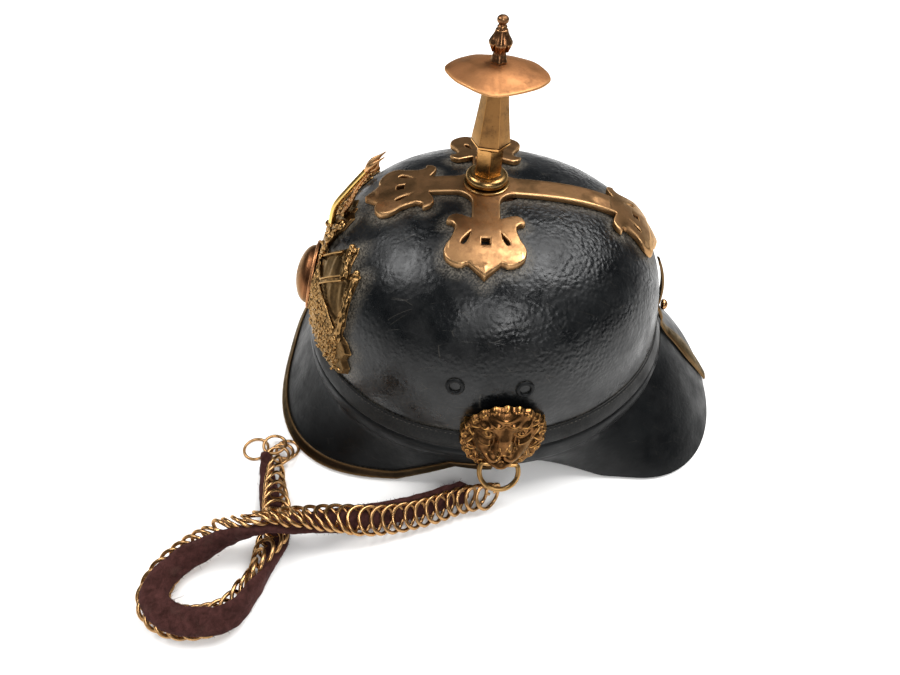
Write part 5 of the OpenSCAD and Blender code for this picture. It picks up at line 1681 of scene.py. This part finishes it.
@dataclass(frozen=True)
class LionRelief:
    """Height of the cast mask over its seat; a runs rearward and b upward from the face's middle."""

    half_w: float = 25.0
    half_h: float = 27.0
    knobs: int = 22
    locks: int = 18
    # height of each pad or hollow of the face, its place on both sides, its width and its length
    pads: tuple = (
        (2.4, 0, 22.0, 5.6, 1.9),  # forehead
        (2.5, 4.9, 18.4, 3.3, 1.7),  # inner brows
        (-1.0, 0, 16.0, 1.5, 3.0),  # furrow between the brows
        (-2.6, 10.0, 11.0, 4.6, 2.5),  # eye sockets
        (-1.4, 9.6, 10.8, 0.95, 0.95),  # pupils
        (1.3, 3.7, 0.4, 1.7, 1.5),  # wings of the nose
        (-2.0, 2.2, -1.8, 1.2, 0.8),  # nostrils
        (5.4, 5.4, -6.6, 6.2, 4.2),  # muzzle
        (1.6, 10.8, -2.0, 4.0, 3.6),  # cheeks beside the muzzle
        (-1.0, 0, -4.8, 0.6, 2.4),  # cleft under the nose
        (6.4, 0, -14.4, 9.0, 3.6),  # chin
    )

    @staticmethod
    def cap(a: np.ndarray, b: np.ndarray, ca: float, cb: float, turn: float, long: float, wide: float,
            high: float, ridges: float = 0.0) -> np.ndarray:
        """A rounded tuft at (ca, cb) that points along `turn` degrees, with fine ridges along it."""
        c, s = math.cos(math.radians(turn)), math.sin(math.radians(turn))
        u, v = (a - ca) * c + (b - cb) * s, -(a - ca) * s + (b - cb) * c
        body = np.clip(1 - (u / long) ** 2 - (v / wide) ** 2, 0, 1) ** 0.5
        return high * body + ridges * np.cos(v / wide * 7.5 + u * 0.35) * (body > 0.25) * body

    def edge(self, phi: np.ndarray) -> np.ndarray:
        """Outline's radius share at angle phi, scalloped by the curls."""
        return 0.985 + 0.022 * np.cos(self.knobs * phi)

    def height(self, a: np.ndarray, b: np.ndarray, r: np.ndarray) -> np.ndarray:
        """Height of the mask's face.

        Args:
            a: place across the mask.
            b: place up the mask.
            r: share of the way from the middle to the edge.

        Returns:
            Heights.
        """
        h = 0.6 + 2.0 * np.sqrt(np.clip(1 - 0.98 * r**2, 0, 1))
        # outer curls: round knobs, each wound in on itself
        for i in range(self.knobs):
            q = 2 * math.pi * i / self.knobs
            ca, cb = self.half_w * 0.895 * math.sin(q), self.half_h * 0.905 * math.cos(q)
            d = np.hypot(a - ca, b - cb)
            knob = np.sqrt(np.clip(1 - (d / 3.5) ** 2, 0, 1))
            wound = 0.3 * np.cos(d * 2.6 + np.arctan2(b - cb, a - ca) + i)
            h = np.maximum(h, np.where(knob > 0.02, 0.5 + (2.5 + wound) * knob, 0))
        # inner locks: bent tufts that sweep down and back beside the face
        for i in range(self.locks):
            q = 360 * (i + 0.5) / self.locks
            if 150 < q < 210 or q < 38 or q > 322:
                continue
            pa = self.half_w * 0.78 * math.sin(math.radians(q))
            pb = self.half_h * 0.74 * math.cos(math.radians(q)) + 1.0
            tuft = self.cap(a, b, pa, pb, 90 - q + (56 if i % 2 else -36), 4.6, 2.1, 2.6, 0.2)
            h = np.maximum(h, np.where(tuft > 0.02, 1.8 + tuft, 0))
        m = np.abs(a)
        face = 7.4 * np.clip(1 - (a / 18.4) ** 2 - ((b - 2.5) / 23.5) ** 2, 0, 1) ** 0.6
        for high, at_a, at_b, wide_a, wide_b in self.pads:
            face = face + high * bell(m - at_a, b - at_b, wide_a, wide_b)
        # outer brows, eyeballs and their lids
        face = face + 2.7 * np.exp(-((m - 12.2) / 3.8) ** 2 - ((b - 15.8 + 0.1 * (m - 12)) / 1.5) ** 2)
        face = face + 2.2 * np.clip(1 - ((m - 10.1) / 3.3) ** 2 - ((b - 10.6) / 1.9) ** 2, 0, 1) ** 0.5
        droop = 0.05 * (m - 10) ** 2
        face = face + 0.9 * np.exp(-((m - 10.1) / 3.8) ** 2 - ((b - 12.8 + droop) / 0.6) ** 2)
        face = face + 0.7 * np.exp(-((m - 10.1) / 3.6) ** 2 - ((b - 8.4 - droop) / 0.6) ** 2)
        # cheek folds under the eyes
        fold = np.exp(-((b - 4.4 - 0.06 * (m - 10.6) ** 2) / 1.8) ** 2)
        face = face + 2.2 * fold * np.clip((m - 5.8) / 2.4, 0, 1) * np.clip((17.2 - m) / 3, 0, 1)
        # broad nose that widens to the nostrils, and the grooves beside it
        wide = 2.9 + 0.12 * np.clip(13 - b, 0, 14)
        ridge = np.clip((16 - b) / 7, 0, 1) * np.clip((b + 2.0) / 2.0, 0, 1)
        face = face + (1.6 + 0.26 * np.clip(12 - b, 0, 13)) * np.exp(-((m / (wide + 0.6)) ** 4)) * ridge
        beside = np.exp(-((m - wide - 2.6) / 1.5) ** 2)
        face = face - 1.2 * beside * np.clip((12 - b) / 4, 0, 1) * np.clip((b + 1) / 2, 0, 1)
        # mouth line
        mouth = b + 9.8 - 0.9 * np.cos(m * 0.62)
        face = face - 2.6 * np.exp(-((mouth / 0.9) ** 2)) * np.clip(1.35 - m / 8.5, 0, 1)
        # soft join of face and mane
        k = 1.2
        raised = face + 1.2
        mix = np.clip(0.5 + (raised - h) / (2 * k), 0, 1)
        h = np.maximum(np.maximum(h, raised), h * (1 - mix) + raised * mix + k * mix * (1 - mix))
        return np.minimum(h, 16.0)


@dataclass(frozen=True)
class RingSizes:
    """Sizes of a swinging ring and the place of its pins."""

    r: float = 11.5
    wire: float = 1.5
    leg: float = 10.4
    stand_off: float = 8.0
    drop: float = 21.0


class Bosses(Assembly):
    """Lion masks and the rings in their mouths."""

    relief = LionRelief()
    ring_size = RingSizes()
    seats = ((0, 5.9), (40, 5.9), (42, 5.3), (47, 4.1), (53, 2.3), (55, 0.6), (200, 0.6))

    def mask(self, side: Side) -> None:
        """One cast lion mask.

        Args:
            side: the wearer's side.
        """
        shape = self.relief
        phis = np.radians(np.arange(0, 360, 1.0))
        rs = np.concatenate([np.linspace(0.004, 0.985, 88), [0.995, 1.0]])
        r, phi = np.meshgrid(rs, phis)
        e = shape.edge(phi) * r
        a, b = shape.half_w * e * np.sin(phi), shape.half_h * e * np.cos(phi)
        flat = SKULL.side_x(LION_Y + a, np.full(a.shape, 43.5)) + 4.6
        seat = SKULL.side_x(LION_Y + a, LION_Z + b) + np.interp(LION_Z + b, *zip(*self.seats))
        soft = np.clip((1 - r) / 0.035, 0, 1) ** 0.5
        front = np.maximum(seat + 1.0, flat + shape.height(a, b, r) * soft)
        top = np.stack([front, LION_Y + a, LION_Z + b], -1)
        hollow = np.maximum(seat, np.where(b > 8, flat - 0.4 - 12 * np.clip((14 - b) / 6, 0, 1), 0))
        back = np.stack([np.minimum(hollow, front - 0.6), LION_Y + a, LION_Z + b], -1)[:, ::-8]
        rows = np.concatenate([top, back], 1)
        rows[..., 0] *= side.value
        points, faces = Maker.skin(rows, closed=True)
        name = f"lion_{side.name.lower()}"
        self.add(name + "_mask", (points, faces), self.f.lion, 70, "brass", name)

    def ring(self, side: Side, tilt: float) -> None:
        """A swinging ring with its two inward pins.

        Args:
            side: the wearer's side.
            tilt: turn out of the hanging pose.
        """
        size = self.ring_size
        r, leg = size.r, size.leg
        drop = math.sqrt(r * r - leg * leg)
        start = math.acos(drop / r)
        arc = [(0.0, -math.sin(a) * r, -drop + math.cos(a) * r)
               for a in np.linspace(start, 2 * math.pi - start, 90)]
        pin = [(0.0, leg - 0.6, -0.12), (0.0, leg - 2.0, 0.0), (0.0, leg - 5.5, 0.0)]
        path = np.array([(x, -y, z) for x, y, z in reversed(pin)] + arc[2:-2] + pin)
        c, s = math.cos(math.radians(tilt)), math.sin(math.radians(tilt))
        x, z = path[:, 0] * c - path[:, 2] * s, path[:, 0] * s + path[:, 2] * c
        placed = np.stack([side.value * (SKULL.half_w + size.stand_off + x), LION_Y + path[:, 1],
                           LION_Z - size.drop + z], -1)
        name = f"ring_{side.name.lower()}"
        self.add(name + "_wire", Maker.tube(placed, size.wire, 16), self.f.ring, 60, "brass", name,
                 body="left_ring" if side is Side.LEFT else "right_ring")

    def build(self) -> None:
        """Adds both bosses."""
        self.mask(Side.LEFT)
        self.mask(Side.RIGHT)
        self.ring(Side.LEFT, 30.0)
        self.ring(Side.RIGHT, 0.0)


@dataclass(frozen=True)
class StrapRoute:
    """Route of the velvet strap: x, y, z of its middle, roll of its chain side, and the chain's shift."""

    spots: tuple = (
        (114, -9, 9.5, 60, 2), (116, -21, 9, 60, 2), (119.5, -31, 9, 60, 2),
        (125.5, -43.5, 9, 58, 2), (131, -57.5, 9, 55, 2), (135.5, -71, 9.5, 45, 2),
        (139, -84, 10.5, 30, 2), (143, -97, 12.5, 12, 1), (147.5, -109.5, 16.5, -5, 1),
        (152, -122, 20.5, -22, 0), (155.5, -134, 22.8, -45, 0), (158.5, -145, 20.5, -68, 0),
        (161, -156, 17.5, -90, 0), (165.5, -165, 14.5, -110, 0), (170.5, -173.5, 13, -126, 0),
        (177, -180.5, 12.5, -138, 0), (185, -185, 12.5, -150, 0), (194, -185.5, 12.5, -162, 0),
        (201.5, -179, 12.5, -176, 0), (205.5, -169, 12.5, -192, 0), (206, -158, 12.5, -208, 0),
        (204, -148, 12.5, -225, 0), (198.5, -141, 12, -242, 0), (190, -136.5, 11.5, -260, 0),
        (180.5, -133, 10, -280, 0), (172, -131, 8.4, -300, 0), (163, -130, 6.6, -324, 0),
        (154, -130, 5.4, -346, 0), (144, -132.5, 5.4, -368, 0), (134.5, -136.5, 6, -390, 0),
        (124.5, -140.5, 6.8, -410, 0), (114.5, -143.5, 7.2, -427, 0), (105, -146, 7.4, -438, 0),
        (97.5, -147.5, 7.4, -444, 0))
    wide: float = 14.5
    thick: float = 6.6

    def frames(self, steps: int) -> tuple[np.ndarray, np.ndarray, np.ndarray, np.ndarray, np.ndarray]:
        """Directions along the strap.

        Args:
            steps: places on each span.

        Returns:
            Middle line, heading, chain side, strap side and chain shift.
        """
        line = Maker.smooth(self.spots, steps)
        p = line[:, :3]
        h = np.zeros_like(p)
        h[1:-1] = p[2:] - p[:-2]
        h[0], h[-1] = p[1] - p[0], p[-1] - p[-2]
        h /= np.linalg.norm(h, axis=1)[:, None]
        left = np.cross((0, 0, 1), h)
        left /= np.linalg.norm(left, axis=1)[:, None]
        up = np.cross(h, left)
        a = np.radians(line[:, 3])[:, None]
        return p, h, up * np.cos(a) + left * np.sin(a), left * np.cos(a) - up * np.sin(a), line[:, 4]


@dataclass(frozen=True)
class ChainSizes:
    """Sizes of the curb chain and of what ends it."""

    pitch: float = 6.5
    r: float = 7.9
    wire: float = 1.1
    lift: float = 2.3
    lean: float = 28.0
    loose_r: float = 6.9
    loose_wire: float = 0.98
    end_r: float = 7.8
    end_wire: float = 0.9
    hook_r: float = 4.4
    hook_wire: float = 1.0
    hook_at: tuple = (117.4, -6.5, 14.55)
    end_at: tuple = (88.6, -157.2, 0.95)
    loose_at: tuple = ((87.8, -137.3, 1.0), (92.4, -139.6, 3.4), (87.3, -145.1, 4.9), (96.4, -141.4, 5.6))


class ChainStrap(Assembly):
    """Velvet strap, ring chain, hook and the chain's bare end."""

    route = StrapRoute()
    size = ChainSizes()
    steps = 10
    creases = ((6.5, 1.15), (1.7, 0.3), (0.8, 0.14))

    def velvet(self) -> bpy.types.Object:
        """The padded velvet strap with its pile and creases.

        Returns:
            The new object.
        """
        p, _, n, s, _ = self.route.frames(self.steps)
        first = self.steps
        rows = []
        for i in range(first, len(p)):
            end = min(1.0, (i - first + 1) / 5, (len(p) - i) / 5)
            row = []
            for a in np.radians(np.arange(0, 360, 12)):
                ca, sa = math.cos(a), math.sin(a)
                w = np.sign(ca) * abs(ca) ** 0.8 * self.route.wide / 2
                t = np.sign(sa) * abs(sa) ** 0.85 * self.route.thick / 2
                q = p[i] + s[i] * w + n[i] * t
                crush = sum(noise.noise(Vector(q / size)) * deep for size, deep in self.creases)
                grow = 1 + crush * 0.12
                out = s[i] * w * (1 + (grow - 1) * 0.6) + n[i] * t * (grow + crush * 0.14)
                row.append(p[i] + out * (0.5 + 0.5 * end))
            rows.append(np.array(row))
            rows[-1][:, 2] = np.maximum(rows[-1][:, 2], 0.05)
        return self.add("velvet_strap_cloth", Maker.skin(np.array(rows)), self.f.velvet, 80,
                        "velvet", "velvet_strap")

    def loose_threads(self) -> None:
        """Frayed threads of the velvet's cloth base."""
        rng = random.Random(11)
        p, h, n, s, _ = self.route.frames(self.steps)
        parts = []
        for i in range(14, len(p) - 4, 2):
            for _ in range(3):
                m = rng.choice((-1, 1))
                start = p[i] + s[i] * m * self.route.wide * 0.49 + n[i] * rng.uniform(-1.8, 1.8)
                way = s[i] * m + n[i] * rng.uniform(-0.6, 0.6) + h[i] * rng.uniform(-1.0, 1.0)
                long = rng.uniform(0.5, 1.4) if rng.random() < 0.985 else rng.uniform(3, 6)
                bend = np.array([rng.uniform(-1, 1) for _ in range(3)])
                pts = np.array([start + way * long * k + bend * long * 0.35 * k * k
                                for k in np.linspace(0, 1, 5)])
                pts[:, 2] = np.maximum(pts[:, 2], 0.2)
                parts.append(Maker.tube(pts, np.linspace(0.09, 0.04, 5), 4))
        self.add("velvet_loose_threads", Maker.join(parts), self.f.velvet, 38, "velvet")

    def chain(self) -> bpy.types.Object:
        """Curb chain of twisted rings, each through its two neighbours.

        Returns:
            The new object.
        """
        p, h, n, s, shift = self.route.frames(self.steps)
        lift = self.route.thick / 2 + self.size.lift
        line = p + n * lift + s * shift[:, None]
        steps = np.linalg.norm(np.diff(line, axis=0), axis=1)
        run = np.concatenate([[0], np.cumsum(steps)])
        pitch, r, wire = self.size.pitch, self.size.r, self.size.wire
        phis = np.linspace(0, 2 * math.pi, 48, endpoint=False)
        parts = []
        rng = random.Random(3)
        count = int((run[-1] - 2) / pitch)
        for k in range(count):
            d = 1.5 + k * pitch + rng.uniform(-0.35, 0.35)
            q = np.array([np.interp(d, run, line[:, c]) for c in range(3)])
            hh = unit([np.interp(d, run, h[:, c]) for c in range(3)])
            nn = np.array([np.interp(d, run, n[:, c]) for c in range(3)])
            nn = unit(nn - hh * np.dot(nn, hh))
            ss = np.cross(nn, hh)
            # rings lean over one another like fallen tiles
            tip = math.radians(self.size.lean + rng.uniform(-5, 5))
            along, over = hh * math.cos(tip) + nn * math.sin(tip), nn * math.cos(tip) - hh * math.sin(tip)
            side_tip = math.radians(rng.uniform(-5, 5))
            ss2 = ss * math.cos(side_tip) + over * math.sin(side_tip)
            ring = [q + along * r * math.cos(f) + ss2 * r * math.sin(f) + over * 0.95 * math.sin(2 * f)
                    for f in phis]
            parts.append(Maker.tube(np.array(ring), wire, 9, closed=True))
        points, faces = Maker.join(parts)
        points[:, 2] = np.maximum(points[:, 2], 0.05)
        return self.add("chain_curb_rings", (points, faces), self.f.chain, 70, "brass", "chain_rings")

    def ends(self) -> list[bpy.types.Object]:
        """Hook, loose rings and end ring.

        Returns:
            The new objects.
        """
        size = self.size
        made = []
        turn = np.eye(3)
        for angle, axis in ((-62, "Z"), (62, "Y"), (90, "X")):
            turn = turn @ np.array(Matrix.Rotation(math.radians(angle), 3, axis))
        arc = []
        for a in np.linspace(0, math.radians(320), 44):
            spot = np.array([size.hook_r * math.cos(a), size.hook_r * math.sin(a), 0.25 * math.sin(a / 2)])
            arc.append(np.array(size.hook_at) + turn @ spot)
        wire = Maker.tube(np.array(arc), size.hook_wire, 12)
        hook = Maker.mesh("chain_hook_wire", *wire, self.f.chain, 70)
        made.append(self.keep(hook, "brass", "chain_hook", body="left_ring"))
        parts = []
        for x, y, z in size.loose_at:
            ring = []
            for a in np.linspace(0, 2 * math.pi, 48, endpoint=False):
                high = max(0.85, z + 0.35 * math.sin(2 * a))
                ring.append((x + size.loose_r * math.cos(a), y + size.loose_r * math.sin(a), high))
            parts.append(Maker.tube(np.array(ring), size.loose_wire, 9, closed=True))
        loose = Maker.mesh("chain_end_loose_rings", *Maker.join(parts), self.f.chain, 70)
        made.append(self.keep(loose, "brass", "chain_loose_rings"))
        x, y, z = size.end_at
        ring = [(x + size.end_r * math.cos(a), y + size.end_r * math.sin(a) * 0.96, z)
                for a in np.linspace(0, 2 * math.pi, 56, endpoint=False)]
        end = Maker.mesh("chain_end_wide_ring", *Maker.tube(np.array(ring), size.end_wire, 10, closed=True),
                         self.f.chain, 70)
        made.append(self.keep(end, "brass", "chain_end_ring"))
        return made

    def build(self) -> None:
        strap = self.velvet()
        self.loose_threads()
        rings = self.chain()
        pieces = [rings] + self.ends()
        p = self.route.frames(self.steps)[0][self.steps:] * MM


class Inside(Assembly):
    """Sweatband, tongues, lace and nuts."""

    def sweatband(self) -> None:
        """Calf band round the opening, with a stitched hem."""
        ts = np.arange(0, 360, 1.5)
        low = SKULL.groove(ts) - 9
        spots = [(low, -3.5), (low + 3, -3.5), (low + 6, -5.6), (low + 9, -7.8), (low + 20, -7.8),
                 (low + 31.4, -7.8), (low + 32, -8.3), (low + 31.6, -9.2),
                 (low + 20, -9.4), (low + 9, -9.4), (low + 6, -7.2), (low + 3, -5.1), (low, -5.1),
                 (low - 0.4, -4.3)]
        rows = np.array([SKULL.wall(ts, z, o) for z, o in spots]).transpose(1, 0, 2)
        self.add("sweatband_leather", Maker.skin(rows, closed=True), self.f.lining, 50, "lining_leather",
                 "sweatband")
        parts = []
        for i in range(180):
            t = 2.0 * i
            z = float(SKULL.groove(t)) - 9 + 2.4
            bow = ((-0.6, 0.0), (-0.3, 0.2), (0, 0.25), (0.3, 0.2), (0.6, 0.0))
            pts = np.array([SKULL.wall(t + d, z, -5.25 - o) for d, o in bow])
            parts.append(Maker.tube(pts, 0.25, 5))
        self.add("sweatband_stitches", Maker.join(parts), self.f.thread, 38, "lining_leather")

    def tongues(self) -> None:
        """Eight leather tongues drawn together under the crown by a lace."""
        parts = []
        turn = 24 / 209 * 2 * 180 / math.pi
        for i in range(8):
            t = 45 * (i + 0.5)
            low = float(SKULL.groove(t)) - 10 + 32 - 5
            rows = []
            for k in np.linspace(0, 1, 19):
                row = []
                for deep, ms in ((0.0, np.linspace(-1, 1, 11)), (1.2, np.linspace(1, -1, 11))):
                    for m in ms:
                        a = SKULL.wall(t + turn * m, low, -3.2 - 4.6 - 1.6 - 0.4 - deep)
                        top = math.radians(t + 7 * m)
                        c = np.array([34 * math.sin(top), SKULL.y - 34 * math.cos(top), 110 - deep])
                        f = 0.2 + deep * 0.01
                        b = np.array([a[0] + (c[0] - a[0]) * f, a[1] + (c[1] - a[1]) * f, 107 - deep])
                        fold = 0.5 * math.sin(k * 7 + i) * (1 - abs(m)) * math.sin(math.pi * k)
                        q = a * (1 - k) ** 2 + b * 2 * k * (1 - k) + c * k * k
                        row.append(q - np.array([0, 0, fold]))
                rows.append(row)
            parts.append(Maker.skin(np.array(rows)))
        self.add("liner_tongue_leathers", Maker.join(parts), self.f.lining, 50, "lining_leather",
                 "liner_tongues")
        plies = []
        for ply in (0, math.pi):
            ring = []
            for a in np.linspace(0, 2 * math.pi, 480, endpoint=False):
                r = 35.5 + 0.42 * math.cos(a * 40 + ply)
                ring.append((r * math.cos(a), SKULL.y + r * math.sin(a),
                             111.4 + 0.42 * math.sin(a * 40 + ply)))
            plies.append(Maker.tube(np.array(ring), 0.52, 6, closed=True))
        self.add("liner_lace_cord", Maker.join(plies), self.f.thread, 38, "lace_cord", "liner_lace")

    def dress(self, frame: dict) -> None:
        """Gives the small inner pieces their finish."""
        for name, finish in (("spine_nut", self.f.dark), ("spike_rod", self.f.dark),
                             ("crown_washer", self.f.lining), ("crown_nut", self.f.turned),
                             ("plate_nuts", self.f.dark), ("lion_nuts", self.f.dark)):
            node = frame["nodes"][name]
            node.data.materials.clear()
            node.data.materials.append(finish)

    def build(self, frame: dict) -> None:
        """Adds the lining and dresses the nuts."""
        self.sweatband()
        self.tongues()
        self.dress(frame)


# ---------------------------------------------------------------- studio


@dataclass(frozen=True)
class Viewpoint:
    """The photo's camera, solved from the helmet's outlines."""

    focal_px: float = 712.84
    frame_px: float = 900.0
    yaw: float = -1.098
    pitch: float = 45.032
    roll: float = 4.242
    place: tuple = (357.28, -43.55, 381.77)

    def build(self) -> None:
        """Adds the camera."""
        a, p, r = (math.radians(v) for v in (self.yaw, self.pitch, self.roll))
        forward = np.array([-math.cos(a) * math.cos(p), -math.sin(a) * math.cos(p), -math.sin(p)])
        right = np.array([-math.sin(a), math.cos(a), 0.0])
        down = np.cross(forward, right)
        c, s = math.cos(r), math.sin(r)
        right, down = c * right - s * down, s * right + c * down
        data = bpy.data.cameras.new("camera")
        data.sensor_width = 36.0
        data.lens = self.focal_px / self.frame_px * 36.0
        data.clip_start, data.clip_end = 0.01, 20.0
        made = bpy.data.objects.new("camera", data)
        rows = [(right[k], -down[k], -forward[k], self.place[k] * MM) for k in range(3)]
        made.matrix_world = Matrix(rows + [(0, 0, 0, 1)])
        bpy.context.scene.collection.objects.link(made)
        bpy.context.scene.camera = made


class Studio:
    """White table, soft lights and plain background."""

    def __init__(self, finishes: Finishes) -> None:
        """Keeps the finishes at hand."""
        self.f = finishes

    def light(self, name: str, place: Sequence[float], target: Sequence[float],
              size: tuple[float, float], power: float, colour: str = "#ffffff") -> None:
        """One soft rectangular light.

        Args:
            name: the light's name.
            place: where it stands, in metres.
            target: what it is aimed at, in metres.
            size: width and height, in metres.
            power: watts.
            colour: hex colour.
        """
        data = bpy.data.lights.new(name, "AREA")
        data.shape = "RECTANGLE"
        data.size, data.size_y = size
        data.energy = power
        data.color = linear(colour)[:3]
        made = bpy.data.objects.new(name, data)
        made.location = place
        made.rotation_euler = (Vector(target) - Vector(place)).to_track_quat("-Z", "Y").to_euler()
        bpy.context.scene.collection.objects.link(made)

    def build(self) -> None:
        """Adds the table, the lights and the world."""
        reach, cuts = 4.0, 9
        steps = np.linspace(-reach, reach, cuts) / MM
        points = [(x, y, -0.02) for x in steps for y in steps]
        faces = []
        for i in range(cuts - 1):
            for j in range(cuts - 1):
                a, b = i * cuts + j, (i + 1) * cuts + j
                faces.append((a, b, b + 1, a + 1))
        Maker.mesh("table", points, faces, self.f.table)
        self.light("window_soft", (-0.1, -0.8, 1.1), (0, 0, 0.1), (0.7, 0.5), 9)
        self.light("ceiling_soft", (-0.42, 0.62, 1.8), (0, 0, 0.05), (1.2, 1.2), 46)
        self.light("front_fill", (1.3, 0.2, 1.3), (0.1, -0.05, 0.05), (0.7, 0.7), 15)
        world = bpy.data.worlds.new("white_room")
        world.use_nodes = True
        tree = world.node_tree
        tree.nodes.clear()
        path = tree.nodes.new("ShaderNodeLightPath")
        out = tree.nodes.new("ShaderNodeOutputWorld")
        last = None
        for code, strength, ray in (("#f4f6fa", 0.5, None), ("#dfe6f0", 0.1, "Is Glossy Ray"),
                                    ("#ffffff", 1.0, "Is Camera Ray")):
            light = tree.nodes.new("ShaderNodeBackground")
            light.inputs[0].default_value, light.inputs[1].default_value = linear(code), strength
            if ray:
                mix = tree.nodes.new("ShaderNodeMixShader")
                tree.links.new(path.outputs[ray], mix.inputs[0])
                tree.links.new(last.outputs[0], mix.inputs[1])
                tree.links.new(light.outputs[0], mix.inputs[2])
                light = mix
            last = light
        tree.links.new(last.outputs[0], out.inputs["Surface"])
        bpy.context.scene.world = world
        bpy.context.scene.view_settings.view_transform = "Standard"


def main() -> None:
    """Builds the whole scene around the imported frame."""
    logging.basicConfig(level=logging.INFO, format="%(name)s: %(message)s")
    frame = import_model()
    Viewpoint().build()
    finishes = Finishes()
    ChainStrap(finishes).build()
    Shell(finishes).build()
    Crown(finishes).build()
    Back(finishes).build()
    BrowPlate(finishes).build()
    Bosses(finishes).build()
    Inside(finishes).build(frame)
    Studio(finishes).build()


if __name__ == "__main__":
    main()
